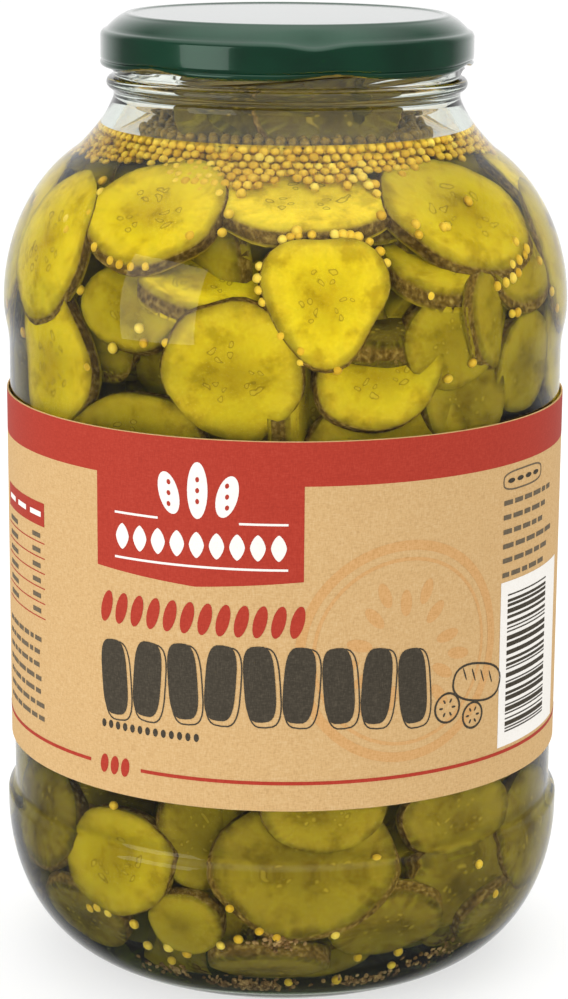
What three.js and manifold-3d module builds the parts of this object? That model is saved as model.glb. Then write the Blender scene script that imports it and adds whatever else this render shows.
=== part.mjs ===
// A two-kilogram glass jar of sliced pickled cucumbers, shut with a metal twist-off lid.
// Millimetres, +Z up. The origin is under the centre of the base, and the label faces -Y.
// An azimuth of 0 degrees is the front of the jar, and azimuths grow towards +X.

import * as THREE from "three";
import { mergeVertices } from "three/addons/utils/BufferGeometryUtils.js";
import Module from "manifold-3d";

const wasm = await Module();
wasm.setup();

// Glass, measured outside: foot ring, belly, recess for the label, shoulder, neck and finish
const FOOT_RADIUS = 41;
const BELLY_RADIUS = 65.5;
const BELLY_HEIGHT = 35;
const RECESS_RADIUS = 63.8;
const RECESS_BOTTOM = 42;
const RECESS_TOP = 146;
const SHOULDER_RADIUS = 65;
const SHOULDER_HEIGHT = 155;
const NECK_RADIUS = 39.5;
const NECK_HEIGHT = 201.5;
const MOUTH_HEIGHT = 217.3;
const WALL = 2.8;
const FLOOR = 5.5;
const JAR_SIDES = 32;

// Lid: an 82 mm twist-off cap with six lugs, and its lining that meets the rim of the glass
const LUGS = 6;
const FIRST_LUG = 15;
const LID_TOP = 220.2;
const SKIRT_BOTTOM = 208.4;
const SKIRT_RADIUS = 42.4;
const SHEET = 0.8;
const LID_SIDES = 36;

// Paper label, wrapped round the recess with a gap at the back
const LABEL_BOTTOM = 52.2;
const LABEL_TOP = 134.8;
const LABEL_PAPER = 0.35;
const LABEL_GAP = 14;
const CLEARANCE = 0.35;

// Contents: the heap of slices, and the mustard seeds that float under the shoulder
const BRINE_LEVEL = 193.5;
const SEED_RADIUS = 1.15;
const SEED_BAND = 8;
const SLICE_SIDES = 9;
const SLICE_THICKNESS = 5.5;
const CORE_DEPTH = 5.5;
const CORE_SIDES = 16;

// Detail smaller than this is smoothed away where pieces join
const TOLERANCE = 0.05;

const rad = THREE.MathUtils.degToRad;
const point = (radius, height) => new THREE.Vector2(radius, height);

// Part of an ellipse in the jar's profile; 0 degrees is its outermost point, 90 its top
function bow(centreRadius, centreHeight, width, height, from, to, steps) {
  return Array.from({ length: steps + 1 }, (_, step) => {
    const angle = rad(from + ((to - from) * step) / steps);
    return point(centreRadius + width * Math.cos(angle), centreHeight + height * Math.sin(angle));
  });
}

const sweep = (start, control, end, steps) =>
  new THREE.QuadraticBezierCurve(start, control, end).getPoints(steps);

// A turned shape from its profile, standing on Z
const turned = (profile, sides) => new THREE.LatheGeometry(profile, sides).rotateX(Math.PI / 2);

function solid(geometry) {
  const bare = geometry.clone().deleteAttribute("normal").deleteAttribute("uv");
  const merged = mergeVertices(bare, 1e-4);
  const vertProperties = new Float32Array(merged.attributes.position.array);
  const triVerts = new Uint32Array(merged.index.array);
  return new wasm.Manifold(new wasm.Mesh({ numProp: 3, vertProperties, triVerts, tolerance: TOLERANCE }));
}

function geometryOf(manifold) {
  const { vertProperties, triVerts } = manifold.getMesh();
  const geometry = new THREE.BufferGeometry();
  geometry.setAttribute("position", new THREE.BufferAttribute(new Float32Array(vertProperties), 3));
  geometry.setIndex(new THREE.BufferAttribute(new Uint32Array(triVerts), 1));
  geometry.computeVertexNormals();
  return geometry;
}

// Profiles of the glass: the heel and the shoulder are quarter ellipses
const HEEL_WIDTH = BELLY_RADIUS - FOOT_RADIUS;
const SHOULDER_CENTRE = 31.5;
const SHOULDER_WIDTH = SHOULDER_RADIUS - SHOULDER_CENTRE;
const SHOULDER_RISE = 40;
const SHOULDER_END = 61;
const outerShoulder = bow(SHOULDER_CENTRE, SHOULDER_HEIGHT, SHOULDER_WIDTH, SHOULDER_RISE, 0, SHOULDER_END, 6);
const innerShoulder = bow(
  SHOULDER_CENTRE, SHOULDER_HEIGHT, SHOULDER_WIDTH - WALL, SHOULDER_RISE - WALL, 0, SHOULDER_END, 5);
const outerWall = [
  point(0, 3), point(32, 2.4), point(36, 0),
  ...bow(FOOT_RADIUS, BELLY_HEIGHT, HEEL_WIDTH, BELLY_HEIGHT, -90, 0, 6),
  point(BELLY_RADIUS - 0.3, BELLY_HEIGHT + 2.5), point(RECESS_RADIUS, RECESS_BOTTOM),
  point(RECESS_RADIUS, RECESS_TOP), point(SHOULDER_RADIUS - 0.5, RECESS_TOP + 4),
  ...outerShoulder,
  ...sweep(outerShoulder.at(-1), point(41.3, 196.2), point(NECK_RADIUS, NECK_HEIGHT), 3).slice(1),
];
const bead = bow(NECK_RADIUS, NECK_HEIGHT + 3.2, 1.6, 1.5, -90, 90, 3);
const lip = bow(38, MOUTH_HEIGHT - 1.2, 1.3, 1.2, 0, 180, 3);
const innerWall = [
  ...sweep(point(NECK_RADIUS - WALL, NECK_HEIGHT - 1.5), point(38.6, 194), innerShoulder.at(-1), 3),
  ...innerShoulder.toReversed().slice(1),
  point(RECESS_RADIUS - WALL, RECESS_TOP), point(RECESS_RADIUS - WALL, RECESS_BOTTOM),
  ...bow(FOOT_RADIUS, BELLY_HEIGHT, HEEL_WIDTH - WALL, BELLY_HEIGHT - FLOOR, 0, -90, 5),
  point(0, FLOOR + 0.6),
];

// Radius inside the glass at a height, read off the inner profile and taken to the flats between
// the corners of the turned shape
function innerRadius(height) {
  const above = innerWall.findLastIndex((p) => p.y >= height);
  if (above < 0) return innerWall[0].x;
  const [high, low] = [innerWall[above], innerWall[Math.min(above + 1, innerWall.length - 1)]];
  const share = high.y === low.y ? 0 : (high.y - height) / (high.y - low.y);
  return THREE.MathUtils.lerp(high.x, low.x, share) * Math.cos(Math.PI / JAR_SIDES);
}

// How far the inside of the glass draws in for each millimetre of height
const steepness = (height) => (innerRadius(height - 1) - innerRadius(height + 1)) / 2;

// The radius that leaves a gap to the glass, measured square to the wall
const reachWithin = (height, gap) => innerRadius(height) - gap * Math.hypot(1, steepness(height));

// Six raised threads, each climbing to the right past the start of the next
const THREAD_START = -38;
const THREAD_TURN = 72;
const THREAD_LOW = 207.4;
const THREAD_CLIMB = 4.2;
const THREAD_HALF = 1.3;
const THREAD_DEPTH = 1.6;
const FINISH_RADIUS = 39.3;
const FINISH_RINGS = 9;

function threadRise(azimuth, height) {
  let rise = 0;
  for (let turn = 0; turn < LUGS; turn++) {
    const start = THREAD_START + (turn * 360) / LUGS;
    const along = THREE.MathUtils.euclideanModulo(azimuth - start, 360) / THREAD_TURN;
    if (along > 1) continue;
    const offCentre = Math.abs(height - THREAD_LOW - THREAD_CLIMB * along) / THREAD_HALF;
    const taper = Math.min(1, 6 * along, 6 * (1 - along));
    rise = Math.max(rise, THREAD_DEPTH * taper * (1 - offCentre));
  }
  return rise;
}

function glassJar() {
  const finishBottom = NECK_HEIGHT + 4.9;
  const finishStep = (MOUTH_HEIGHT - 3 - finishBottom) / (FINISH_RINGS - 1);
  const finish = Array.from(
    { length: FINISH_RINGS }, (_, ring) => point(FINISH_RADIUS, finishBottom + finishStep * ring));
  const geometry = turned([...outerWall, ...bead, ...finish, ...lip, ...innerWall], JAR_SIDES);
  const at = geometry.attributes.position;
  for (let i = 0; i < at.count; i++) {
    const radius = Math.hypot(at.getX(i), at.getY(i));
    if (at.getZ(i) < finishBottom + finishStep / 2 || radius < FINISH_RADIUS - 0.01) continue;
    const azimuth = THREE.MathUtils.radToDeg(Math.atan2(at.getX(i), -at.getY(i)));
    const scale = 1 + threadRise(azimuth, at.getZ(i)) / radius;
    at.setXYZ(i, at.getX(i) * scale, at.getY(i) * scale, at.getZ(i));
  }
  return geometry;
}

// Pressed lid: curled hem, skirt, rolled step, slope, raised crown and sunk panel
const LUG_WIDTH = 7;
const LUG_DEPTH = 1.7;
const LUG_HEIGHT = 1.2;
const DENT = { azimuth: 8, width: 6, depth: 0.7 };

function lid() {
  const hem = bow(SKIRT_RADIUS - 0.1, SKIRT_BOTTOM + 0.8, 0.8, 0.8, -90, 60, 3);
  const profile = [
    ...hem,
    point(SKIRT_RADIUS, SKIRT_BOTTOM + 2), point(SKIRT_RADIUS, SKIRT_BOTTOM + 6.8),
    point(SKIRT_RADIUS - 0.4, SKIRT_BOTTOM + 7.8), point(SKIRT_RADIUS - 1.2, SKIRT_BOTTOM + 8.4),
    point(SKIRT_RADIUS - 2.6, LID_TOP - 2), point(SKIRT_RADIUS - 5.6, LID_TOP - 0.4),
    point(SKIRT_RADIUS - 6.8, LID_TOP), point(SKIRT_RADIUS - 7.8, LID_TOP - 0.2),
    point(SKIRT_RADIUS - 8.4, LID_TOP - 0.9), point(0, LID_TOP - 0.9),
    point(0, LID_TOP - 0.9 - SHEET), point(SKIRT_RADIUS - 7.2, LID_TOP - 0.9 - SHEET),
    point(SKIRT_RADIUS - 6.6, MOUTH_HEIGHT + CLEARANCE), point(SKIRT_RADIUS - 2, MOUTH_HEIGHT + CLEARANCE),
    point(SKIRT_RADIUS - SHEET, SKIRT_BOTTOM + 7), point(SKIRT_RADIUS - SHEET, SKIRT_BOTTOM + 1.4),
    hem[0].clone(),
  ];
  const geometry = turned(profile, LID_SIDES);
  const at = geometry.attributes.position;
  for (let i = 0; i < at.count; i++) {
    const radius = Math.hypot(at.getX(i), at.getY(i));
    if (radius < 1) continue;
    const azimuth = THREE.MathUtils.radToDeg(Math.atan2(at.getX(i), -at.getY(i)));
    const pitch = 360 / LUGS;
    const fromLug = THREE.MathUtils.euclideanModulo(azimuth - FIRST_LUG + pitch / 2, pitch) - pitch / 2;
    const hemShare = THREE.MathUtils.clamp((SKIRT_BOTTOM + 2 - at.getZ(i)) / 2, 0, 1);
    const pinch = hemShare * Math.exp(-((fromLug / LUG_WIDTH) ** 4));
    const onSlope = at.getZ(i) > LID_TOP - 3 && radius > SKIRT_RADIUS - 6.4 && radius < SKIRT_RADIUS - 2;
    const dent = onSlope ? DENT.depth * Math.exp(-(((azimuth - DENT.azimuth) / DENT.width) ** 2)) : 0;
    const scale = (radius - LUG_DEPTH * pinch) / radius;
    const height = at.getZ(i) + LUG_HEIGHT * pinch * 0.5 - dent;
    at.setXYZ(i, at.getX(i) * scale, at.getY(i) * scale, height);
  }
  return geometry;
}

// The label is an open ring of paper, extruded upwards
function label() {
  const inside = RECESS_RADIUS + CLEARANCE;
  const halfGap = LABEL_GAP / 2 / inside;
  const seam = Math.PI / 2;
  const ring = new THREE.Shape();
  ring.absarc(0, 0, inside + LABEL_PAPER, seam + halfGap, seam - halfGap + 2 * Math.PI, false);
  ring.absarc(0, 0, inside, seam - halfGap + 2 * Math.PI, seam + halfGap, true);
  const options = { depth: LABEL_TOP - LABEL_BOTTOM, bevelEnabled: false, curveSegments: 24 };
  return new THREE.ExtrudeGeometry(ring, options).translate(0, 0, LABEL_BOTTOM);
}

// Slices that show at the front. az and z say where a slice's middle meets the glass, deep is
// how far it lies behind it, and w and h are its size. lean tips its top away from the glass,
// turn swings its right side away, spin turns it in its own plane, and tri pulls out three corners.
const FRONT_SLICES = {
  leftTall: { az: -59, z: 169, deep: 1, w: 28, h: 36, spin: 8, turn: -4 },
  leftBright: { az: -33, z: 180, deep: 1.5, w: 33, h: 25, spin: 14, lean: 4, tri: 0.05 },
  topWide: { az: 6, z: 182, deep: 7.5, w: 38, h: 30, lean: 26 },
  centre: { az: 8, z: 163.5, deep: 0.5, w: 27.5, h: 29, tri: 0.1 },
  bigRound: { az: -10.5, z: 148.5, deep: 0.6, w: 29.5, h: 30.5, tri: 0.03, spin: 20 },
  leftOlive: { az: -34, z: 161, deep: 5, w: 26, h: 18, lean: 8 },
  wedge: { az: -18, z: 167, deep: 6, w: 27, h: 24, lean: 50, turn: 14 },
  lowLeft: { az: -54, z: 146, deep: 1, w: 31, h: 25, tri: 0.09, spin: 90 },
  sliver: { az: -34, z: 131, deep: 3, w: 34, h: 22, spin: 12 },
  rightBright: { az: 46, z: 179, deep: 3, w: 40, h: 27, spin: -22, lean: 10 },
  rightUnder: { az: 42, z: 170, deep: 6, w: 36, h: 26, lean: 45 },
  rightFar: { az: 60, z: 167, deep: 3, w: 26, h: 22, lean: 20 },
  rightOlive: { az: 37, z: 154, deep: 3.5, w: 25, h: 21, lean: 6 },
  halfRound: { az: 20, z: 148, deep: 3, w: 28, h: 24, lean: 28, spin: 20 },
  darkRim: { az: 21, z: 158, deep: 6, w: 24, h: 22, lean: 64 },
  rightSlim: { az: 49, z: 158, deep: 3, w: 20, h: 22, turn: 38 },
  rightLow: { az: 41, z: 141, deep: 3, w: 23, h: 22, lean: 6 },
  edgeOn: { az: 4, z: 139, deep: 4, w: 20, h: 24, turn: 68 },
  belowHalf: { az: 23, z: 133, deep: 3, w: 36, h: 24, lean: 16 },
  rightPale: { az: 58, z: 150, deep: 3, w: 22, h: 25 },
  footLeft: { az: -37, z: 35, deep: 1.5, w: 30, h: 24, spin: 10 },
  footPale: { az: -21, z: 23, deep: 2, w: 17, h: 15 },
  footNarrow: { az: -18, z: 43, deep: 4, w: 18, h: 24, turn: 25 },
  footBig: { az: 5, z: 38, deep: 2.5, w: 40, h: 33 },
  footGreen: { az: 9, z: 51, deep: 0.5, w: 27, h: 20, lean: -6 },
  footRight: { az: 41, z: 45, deep: 1, w: 31, h: 20, spin: -6 },
  footDark: { az: 43, z: 29, deep: 4, w: 30, h: 22, lean: -10 },
  footEdge: { az: -62, z: 40, deep: 1.5, w: 28, h: 26 },
  footFar: { az: 66, z: 36, deep: 2, w: 28, h: 28 },
  footMiddle: { az: 24, z: 22, deep: 3, w: 26, h: 20, lean: -20 },
};

// Rows that carry the heap on round the sides and the back, in windows above and below the label
const SIDE_START = 80;
const SIDE_SPAN = 200;
const SIDE_ROWS = [
  { z: 180, count: 6, size: 33, lean: 16 },
  { z: 162, count: 6, size: 32, lean: 6 },
  { z: 144, count: 6, size: 32, lean: 4 },
  { z: 44, count: 6, size: 32, lean: 0 },
  { z: 24, count: 5, size: 32, lean: -8 },
];

// Loose mustard seeds, as angles round the rim of the slice that they have lodged against
const RIM_SEEDS = {
  centre: [128, 120, 112, 79, 70, 61, 46, 34, 24, 156, 166, 176, 219, 247, 280],
  leftBright: [228, 256, 266, 276],
  topWide: [205, 262],
  leftTall: [60],
  rightBright: [158, 149, 305],
  rightUnder: [292, 302, 312],
  leftOlive: [255],
  footLeft: [95, 250, 262],
  footPale: [240, 268],
  footBig: [240, 252, 215],
  footMiddle: [250],
};

// Park and Miller's random numbers, always the same run
const RANDOM_SEED = 2877;
let randomState = RANDOM_SEED;
function random(low, high) {
  randomState = (randomState * 16807) % 2147483647;
  return low + ((high - low) * randomState) / 2147483647;
}

function sideSlices() {
  return SIDE_ROWS.flatMap(({ z, count, size, lean }) =>
    Array.from({ length: count }, (_, k) => ({
      az: SIDE_START + (SIDE_SPAN * (k + 0.5)) / count + random(-4, 4),
      z: z + random(-3, 3),
      deep: random(0.5, 3.5),
      w: size * random(0.85, 1.15),
      h: size * random(0.78, 1.02),
      lean: lean + random(-12, 12),
      turn: random(-16, 16),
      spin: random(-40, 40),
      tri: random(0, 0.1),
    })));
}

// The frame of a slice: X to the right along the glass, Y up it, Z out through it
function sliceFrame({ az, z, deep, lean = 0, turn = 0, spin = 0 }) {
  const wallTilt = Math.atan(steepness(z));
  const outward = new THREE.Vector3(Math.sin(rad(az)), -Math.cos(rad(az)), 0);
  const sideways = new THREE.Vector3(Math.cos(rad(az)), Math.sin(rad(az)), 0);
  const up = new THREE.Vector3(0, 0, 1);
  const place = outward.clone().multiplyScalar(innerRadius(z) - deep).setZ(z);
  return new THREE.Matrix4()
    .makeBasis(sideways, up, outward)
    .premultiply(new THREE.Matrix4().makeTranslation(place))
    .multiply(new THREE.Matrix4().makeRotationY(rad(turn)))
    .multiply(new THREE.Matrix4().makeRotationX(-wallTilt - rad(lean)))
    .multiply(new THREE.Matrix4().makeRotationZ(rad(spin)));
}

function rimPoint({ w, h, tri = 0 }, angle) {
  const reach = 1 + tri * Math.cos(3 * (angle + Math.PI / 2));
  return point((w / 2) * reach * Math.cos(angle), (h / 2) * reach * Math.sin(angle));
}

// Soft slices press flat against the glass instead of going through it, and none bulges further
// than the recess lets the ones beside it
function pressed(at, gap) {
  const recess = reachWithin((RECESS_BOTTOM + RECESS_TOP) / 2, gap);
  for (let i = 0; i < at.count; i++) {
    const height = THREE.MathUtils.clamp(at.getZ(i), FLOOR + 2.5, BRINE_LEVEL - 1);
    const radius = Math.hypot(at.getX(i), at.getY(i));
    const scale = Math.min(1, reachWithin(height, gap) / radius, recess / radius);
    at.setXYZ(i, at.getX(i) * scale, at.getY(i) * scale, height);
  }
}

function sliceGeometry(slice) {
  const rim = Array.from({ length: SLICE_SIDES }, (_, k) => rimPoint(slice, (2 * Math.PI * k) / SLICE_SIDES));
  const options = { depth: SLICE_THICKNESS, bevelEnabled: false };
  const geometry = new THREE.ExtrudeGeometry(new THREE.Shape(rim), options);
  geometry.translate(0, 0, -SLICE_THICKNESS).applyMatrix4(sliceFrame(slice));
  pressed(geometry.attributes.position, CLEARANCE);
  return geometry;
}

function seedAt(place, sink) {
  const reach = reachWithin(place.z, CLEARANCE + SEED_RADIUS + sink);
  const radius = Math.hypot(place.x, place.y);
  const scale = Math.min(1, reach / radius);
  const ball = new THREE.IcosahedronGeometry(SEED_RADIUS, 0).rotateX(random(0, 3));
  return ball.translate(place.x * scale, place.y * scale, place.z);
}

function rimSeeds() {
  return Object.entries(RIM_SEEDS).flatMap(([name, angles]) => {
    const slice = FRONT_SLICES[name];
    const frame = sliceFrame(slice);
    return angles.map((angle) => {
      const turned = rad(angle - (slice.spin ?? 0));
      const rim = rimPoint(slice, turned);
      const place = new THREE.Vector3(rim.x, rim.y, -0.4).applyMatrix4(frame);
      return seedAt(place, 0.1);
    });
  });
}

// Floating seeds: rows that follow the slope of the shoulder up to the surface of the brine
const SEED_ROWS = [187.2, 191.4];
const SEED_STEP = 14;

function floatingSeeds() {
  return SEED_ROWS.flatMap((height) => {
    const radius = innerRadius(height);
    const count = Math.round((2 * Math.PI * radius) / SEED_STEP);
    return Array.from({ length: count }, (_, k) => {
      const azimuth = (2 * Math.PI * (k + random(-0.25, 0.25))) / count;
      const level = height + random(-0.5, 0.5);
      return seedAt(new THREE.Vector3(radius * Math.sin(azimuth), -radius * Math.cos(azimuth), level), 0);
    });
  });
}

// The unseen middle of the heap, and the close-packed seeds that float on top of it
function heapCore() {
  const levels = [9, 22, 46, 142, 158, 175];
  const side = levels.map((level) => point(reachWithin(level, CORE_DEPTH), level));
  const collarBottom = BRINE_LEVEL - SEED_BAND;
  const collar = [collarBottom, BRINE_LEVEL - 0.8].map(
    (level) => point(reachWithin(level, CLEARANCE + SEED_RADIUS), level));
  return turned([point(0, levels[0]), ...side, ...collar, point(0, BRINE_LEVEL - 0.8)], CORE_SIDES);
}

function pickleHeap() {
  const slices = [...Object.values(FRONT_SLICES), ...sideSlices()].map(sliceGeometry);
  const pieces = [...slices, ...rimSeeds(), ...floatingSeeds()];
  const joined = pieces.reduce((heap, piece) => heap.add(solid(piece)), solid(heapCore()));
  const bodies = joined.decompose().toSorted((a, b) => b.volume() - a.volume());
  return geometryOf(bodies[0]);
}

// Finishes
const clearGlass = new THREE.MeshStandardMaterial({
  color: 0xdfe8de, roughness: 0.05, metalness: 0, transparent: true, opacity: 0.35,
});
const greenEnamel = new THREE.MeshStandardMaterial({ color: 0x1f4a35, roughness: 0.3, metalness: 0.4 });
const kraftPaper = new THREE.MeshStandardMaterial({ color: 0xd7b07b, roughness: 0.7, metalness: 0 });
const pickle = new THREE.MeshStandardMaterial({ color: 0xb8a62e, roughness: 0.5, metalness: 0 });

const jar = new THREE.Group();
for (const [name, geometry, material] of [
  ["glass_jar", glassJar(), clearGlass],
  ["lid", lid(), greenEnamel],
  ["label", label(), kraftPaper],
  ["pickle_heap", pickleHeap(), pickle],
]) {
  const mesh = new THREE.Mesh(geometry, material);
  mesh.name = name;
  jar.add(mesh);
}

export default jar;
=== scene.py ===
# %% [markdown]
# # A jar of sliced pickled cucumbers
#
# A large glass jar, full of cucumber slices in yellow brine, shut with a green metal lid and wrapped
# in brown paper. Glass only looks like glass when something bends behind it, so this lesson builds
# the real layers: a wall of glass with two faces, brine that fills it to its level, and slices and
# seeds that lie in the brine. Everything is in metres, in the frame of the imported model, with the
# front of the label towards -Y.

# %% Load the frame
import math
import random

import bpy
from mathutils import Matrix, Vector


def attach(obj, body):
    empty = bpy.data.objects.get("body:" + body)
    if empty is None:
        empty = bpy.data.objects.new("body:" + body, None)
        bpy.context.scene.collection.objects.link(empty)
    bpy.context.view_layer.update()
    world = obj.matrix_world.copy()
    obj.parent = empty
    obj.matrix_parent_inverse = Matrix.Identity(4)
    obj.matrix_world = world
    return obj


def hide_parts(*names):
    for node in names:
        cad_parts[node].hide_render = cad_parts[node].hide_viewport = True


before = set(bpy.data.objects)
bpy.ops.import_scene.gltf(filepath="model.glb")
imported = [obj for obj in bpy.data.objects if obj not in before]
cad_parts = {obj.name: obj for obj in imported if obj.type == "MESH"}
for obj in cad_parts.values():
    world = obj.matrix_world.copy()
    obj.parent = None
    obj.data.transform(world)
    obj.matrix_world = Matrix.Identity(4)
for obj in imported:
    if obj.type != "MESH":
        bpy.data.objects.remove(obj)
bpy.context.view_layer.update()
MM = 0.001

# %% [markdown]
# ## Small helpers
#
# Operators act on whatever is selected, so each step starts by selecting one thing alone. Colours
# are written as the hex values of a paint chart and turned into the linear numbers that a shader
# wants. One function adds any shader node, with its settings, its links and the stops of its ramp.
# Another counts places on the piece in units of a real size, so that each pattern is as large as
# the grain, fibre or crumb that it stands for.

# %% Helpers for selecting, colouring and wiring
def only(piece):
    """Leaves one object selected and active."""
    bpy.ops.object.select_all(action="DESELECT")
    piece.select_set(True)
    bpy.context.view_layer.objects.active = piece
    return piece


def named(name):
    """Names the object that an operator has just made."""
    piece = bpy.context.object
    piece.name = name
    piece.data.name = name
    return piece


def linear(hex_colour):
    """An sRGB hex colour as linear red, green, blue and alpha."""
    channels = [int(hex_colour[i : i + 2], 16) / 255 for i in (1, 3, 5)]
    return [c / 12.92 if c <= 0.04045 else ((c + 0.055) / 1.055) ** 2.4 for c in channels] + [1]


def add(tree, kind, inputs=None, stops=(), **settings):
    """Adds a shader node. A node or socket in inputs is linked, and anything else is set."""
    made = tree.nodes.new("ShaderNode" + kind)
    for name, value in settings.items():
        setattr(made, name, value)
    for socket, value in (inputs or {}).items():
        if isinstance(value, bpy.types.Node):
            value = value.outputs[0]
        if isinstance(value, bpy.types.NodeSocket):
            tree.links.new(value, made.inputs[socket])
        else:
            made.inputs[socket].default_value = value
    points = made.color_ramp.elements if stops else []
    while len(points) < len(stops):
        points.new(1)
    for point, (place, colour) in zip(points, stops):
        point.position = place
        point.color = linear(colour)
    return made


def material(name):
    """A new material and its empty node tree."""
    made = bpy.data.materials.new(name)
    made.use_nodes = True
    made.node_tree.nodes.clear()
    return made, made.node_tree


def measured(tree, *size):
    """Object coordinates in units of a real size, which is one number or three."""
    place = add(tree, "TexCoord").outputs["Object"]
    sides = size if len(size) == 3 else 3 * size
    return add(tree, "Mapping", {"Vector": place, "Scale": [1 / side for side in sides]})


# %% [markdown]
# ## The jar's sizes
#
# The glass is a turned shape, so a few heights and radii give all of it. The heel and the shoulder
# are quarter ellipses, the neck is one smooth sweep, and the label sits in a shallow recess that
# keeps it from being scuffed. The same numbers carve out the room inside, which every slice and
# seed has to stay within.

# %% Driving dimensions of the glass
FOOT_RADIUS = 41 * MM
BELLY_RADIUS = 65.5 * MM
BELLY_HEIGHT = 35 * MM
RECESS_RADIUS = 63.8 * MM
RECESS_BOTTOM = 42 * MM
RECESS_TOP = 146 * MM
SHOULDER_RADIUS = 65 * MM
SHOULDER_HEIGHT = 155 * MM
SHOULDER_CENTRE = 31.5 * MM
SHOULDER_RISE = 40 * MM
SHOULDER_END = 61
NECK_RADIUS = 39.5 * MM
NECK_HEIGHT = 201.5 * MM
FINISH_RADIUS = 39.3 * MM
MOUTH_HEIGHT = 217.3 * MM
WALL = 2.8 * MM
FLOOR = 5.5 * MM
BRINE_LEVEL = 193.5 * MM
CRISP_STEP = 2.6


def bow(centre_radius, centre_height, width, height, start, end, steps):
    """Part of an ellipse in the profile; 0 degrees is its outermost point and 90 its top."""
    angles = [math.radians(start + (end - start) * step / steps) for step in range(steps + 1)]
    return [(centre_radius + width * math.cos(a), centre_height + height * math.sin(a)) for a in angles]


def sweep(start, control, end, steps):
    """A smooth curve between two points that leans towards a third."""
    points = []
    for step in range(steps + 1):
        t = step / steps
        weights = ((1 - t) ** 2, 2 * t * (1 - t), t * t)
        points.append(tuple(
            sum(w * p[k] for w, p in zip(weights, (start, control, end))) for k in (0, 1)))
    return points


def eased(low, high, t):
    """Goes from low to high with a soft start and end."""
    t = min(1, max(0, t))
    return low + (high - low) * t * t * (3 - 2 * t)


def side_wall(inset, steps=16):
    """The belly's top, the label recess and the shoulder's foot, inset from the outside."""
    # The outside of the lower step is tighter than the inside, which thick glass rounds off
    crisp = CRISP_STEP if inset == 0 else 1
    bottom = [
        (eased(BELLY_RADIUS, RECESS_RADIUS, 0.5 + crisp * (k / steps - 0.5)) - inset,
         BELLY_HEIGHT + (RECESS_BOTTOM - BELLY_HEIGHT + MM) * k / steps)
        for k in range(1, steps + 1)
    ]
    top = [
        (eased(RECESS_RADIUS, SHOULDER_RADIUS, k / steps) - inset,
         RECESS_TOP - MM + (SHOULDER_HEIGHT - RECESS_TOP + MM) * k / steps)
        for k in range(steps)
    ]
    return bottom + top


def inside_profile():
    """The inner face of the glass from the middle of the floor up to the neck."""
    floor = [(0, FLOOR + 0.6 * MM), (20 * MM, FLOOR + 0.5 * MM)]
    heel = bow(
        FOOT_RADIUS, BELLY_HEIGHT, BELLY_RADIUS - FOOT_RADIUS - WALL, BELLY_HEIGHT - FLOOR, -90, 0, 18)
    shoulder = bow(
        SHOULDER_CENTRE, SHOULDER_HEIGHT, SHOULDER_RADIUS - SHOULDER_CENTRE - WALL, SHOULDER_RISE - WALL,
        0, SHOULDER_END, 20)
    neck = sweep(shoulder[-1], (38.6 * MM, 194 * MM), (NECK_RADIUS - WALL, NECK_HEIGHT - 1.5 * MM), 12)
    return floor + heel + side_wall(WALL) + shoulder + neck[1:]


INSIDE = inside_profile()


def inner_radius(height):
    """Radius of the room inside the glass at a height."""
    for (low_r, low_z), (high_r, high_z) in zip(INSIDE[2:], INSIDE[3:]):
        if low_z <= height <= high_z and high_z > low_z:
            return low_r + (high_r - low_r) * (height - low_z) / (high_z - low_z)
    return INSIDE[-1][0] if height > INSIDE[-1][1] else INSIDE[2][0]


def steepness(height):
    """How far the inner wall draws in for each unit of height."""
    return (inner_radius(height - MM) - inner_radius(height + MM)) / (2 * MM)


def reach_within(height, gap):
    """The radius that leaves a gap to the glass, measured square to the wall."""
    return inner_radius(height) - gap * math.hypot(1, steepness(height))


print("points in the inner profile:", len(INSIDE))

# %% [markdown]
# ## Camera
#
# The photograph was taken from a little above, at about arm's length, with a long lens. The camera
# stands in front of the jar, is tipped down, and leans by less than half a degree, so its three axes
# are worked out from those angles and written straight into its matrix.

# %% Camera
EYE_DISTANCE = 669 * MM
EYE_HEIGHT = 266.8 * MM
TIP_DOWN = math.radians(13.45)
LEAN = math.radians(0.42)
LENS_MM = 105.3

forward = Vector((0, math.cos(TIP_DOWN), -math.sin(TIP_DOWN)))
level_right = Vector((1, 0, 0))
level_up = level_right.cross(forward)
right = math.cos(LEAN) * level_right + math.sin(LEAN) * level_up
up = math.cos(LEAN) * level_up - math.sin(LEAN) * level_right
bpy.ops.object.camera_add()
camera = named("camera")
camera.data.lens = LENS_MM
camera.data.sensor_width = 36
camera.data.dof.use_dof = False
camera.matrix_world = Matrix.Translation((0, -EYE_DISTANCE, EYE_HEIGHT)) @ Matrix(
    (right, up, -forward)
).transposed().to_4x4()
bpy.context.scene.camera = camera
print("camera in mm:", [round(side / MM, 1) for side in camera.location], "lens:", LENS_MM)

# %% [markdown]
# ## Studio
#
# A jar is photographed on a light table, a sheet of white acrylic that glows from below, in a white
# room. The white all round is what makes the edges of the glass read as grey lines. What the glass
# and the lid mirror matters as much as what lights them. So the table isn't mirrored, the room is
# darker behind the camera than behind the jar, and only one soft box can be seen in the gloss.

# %% Light table
TABLE_WHITE = "#a2a2a1"
TABLE_GLOW = 0.66
TABLE_SIZE = 14
TABLE_FRONT = -0.08
STUDIO_WHITE = linear("#ffffff")
bpy.ops.mesh.primitive_plane_add(size=TABLE_SIZE, location=(0, TABLE_FRONT + TABLE_SIZE / 2, 0))
studio_floor = named("studio_floor")
studio_floor.visible_glossy = False

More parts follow.
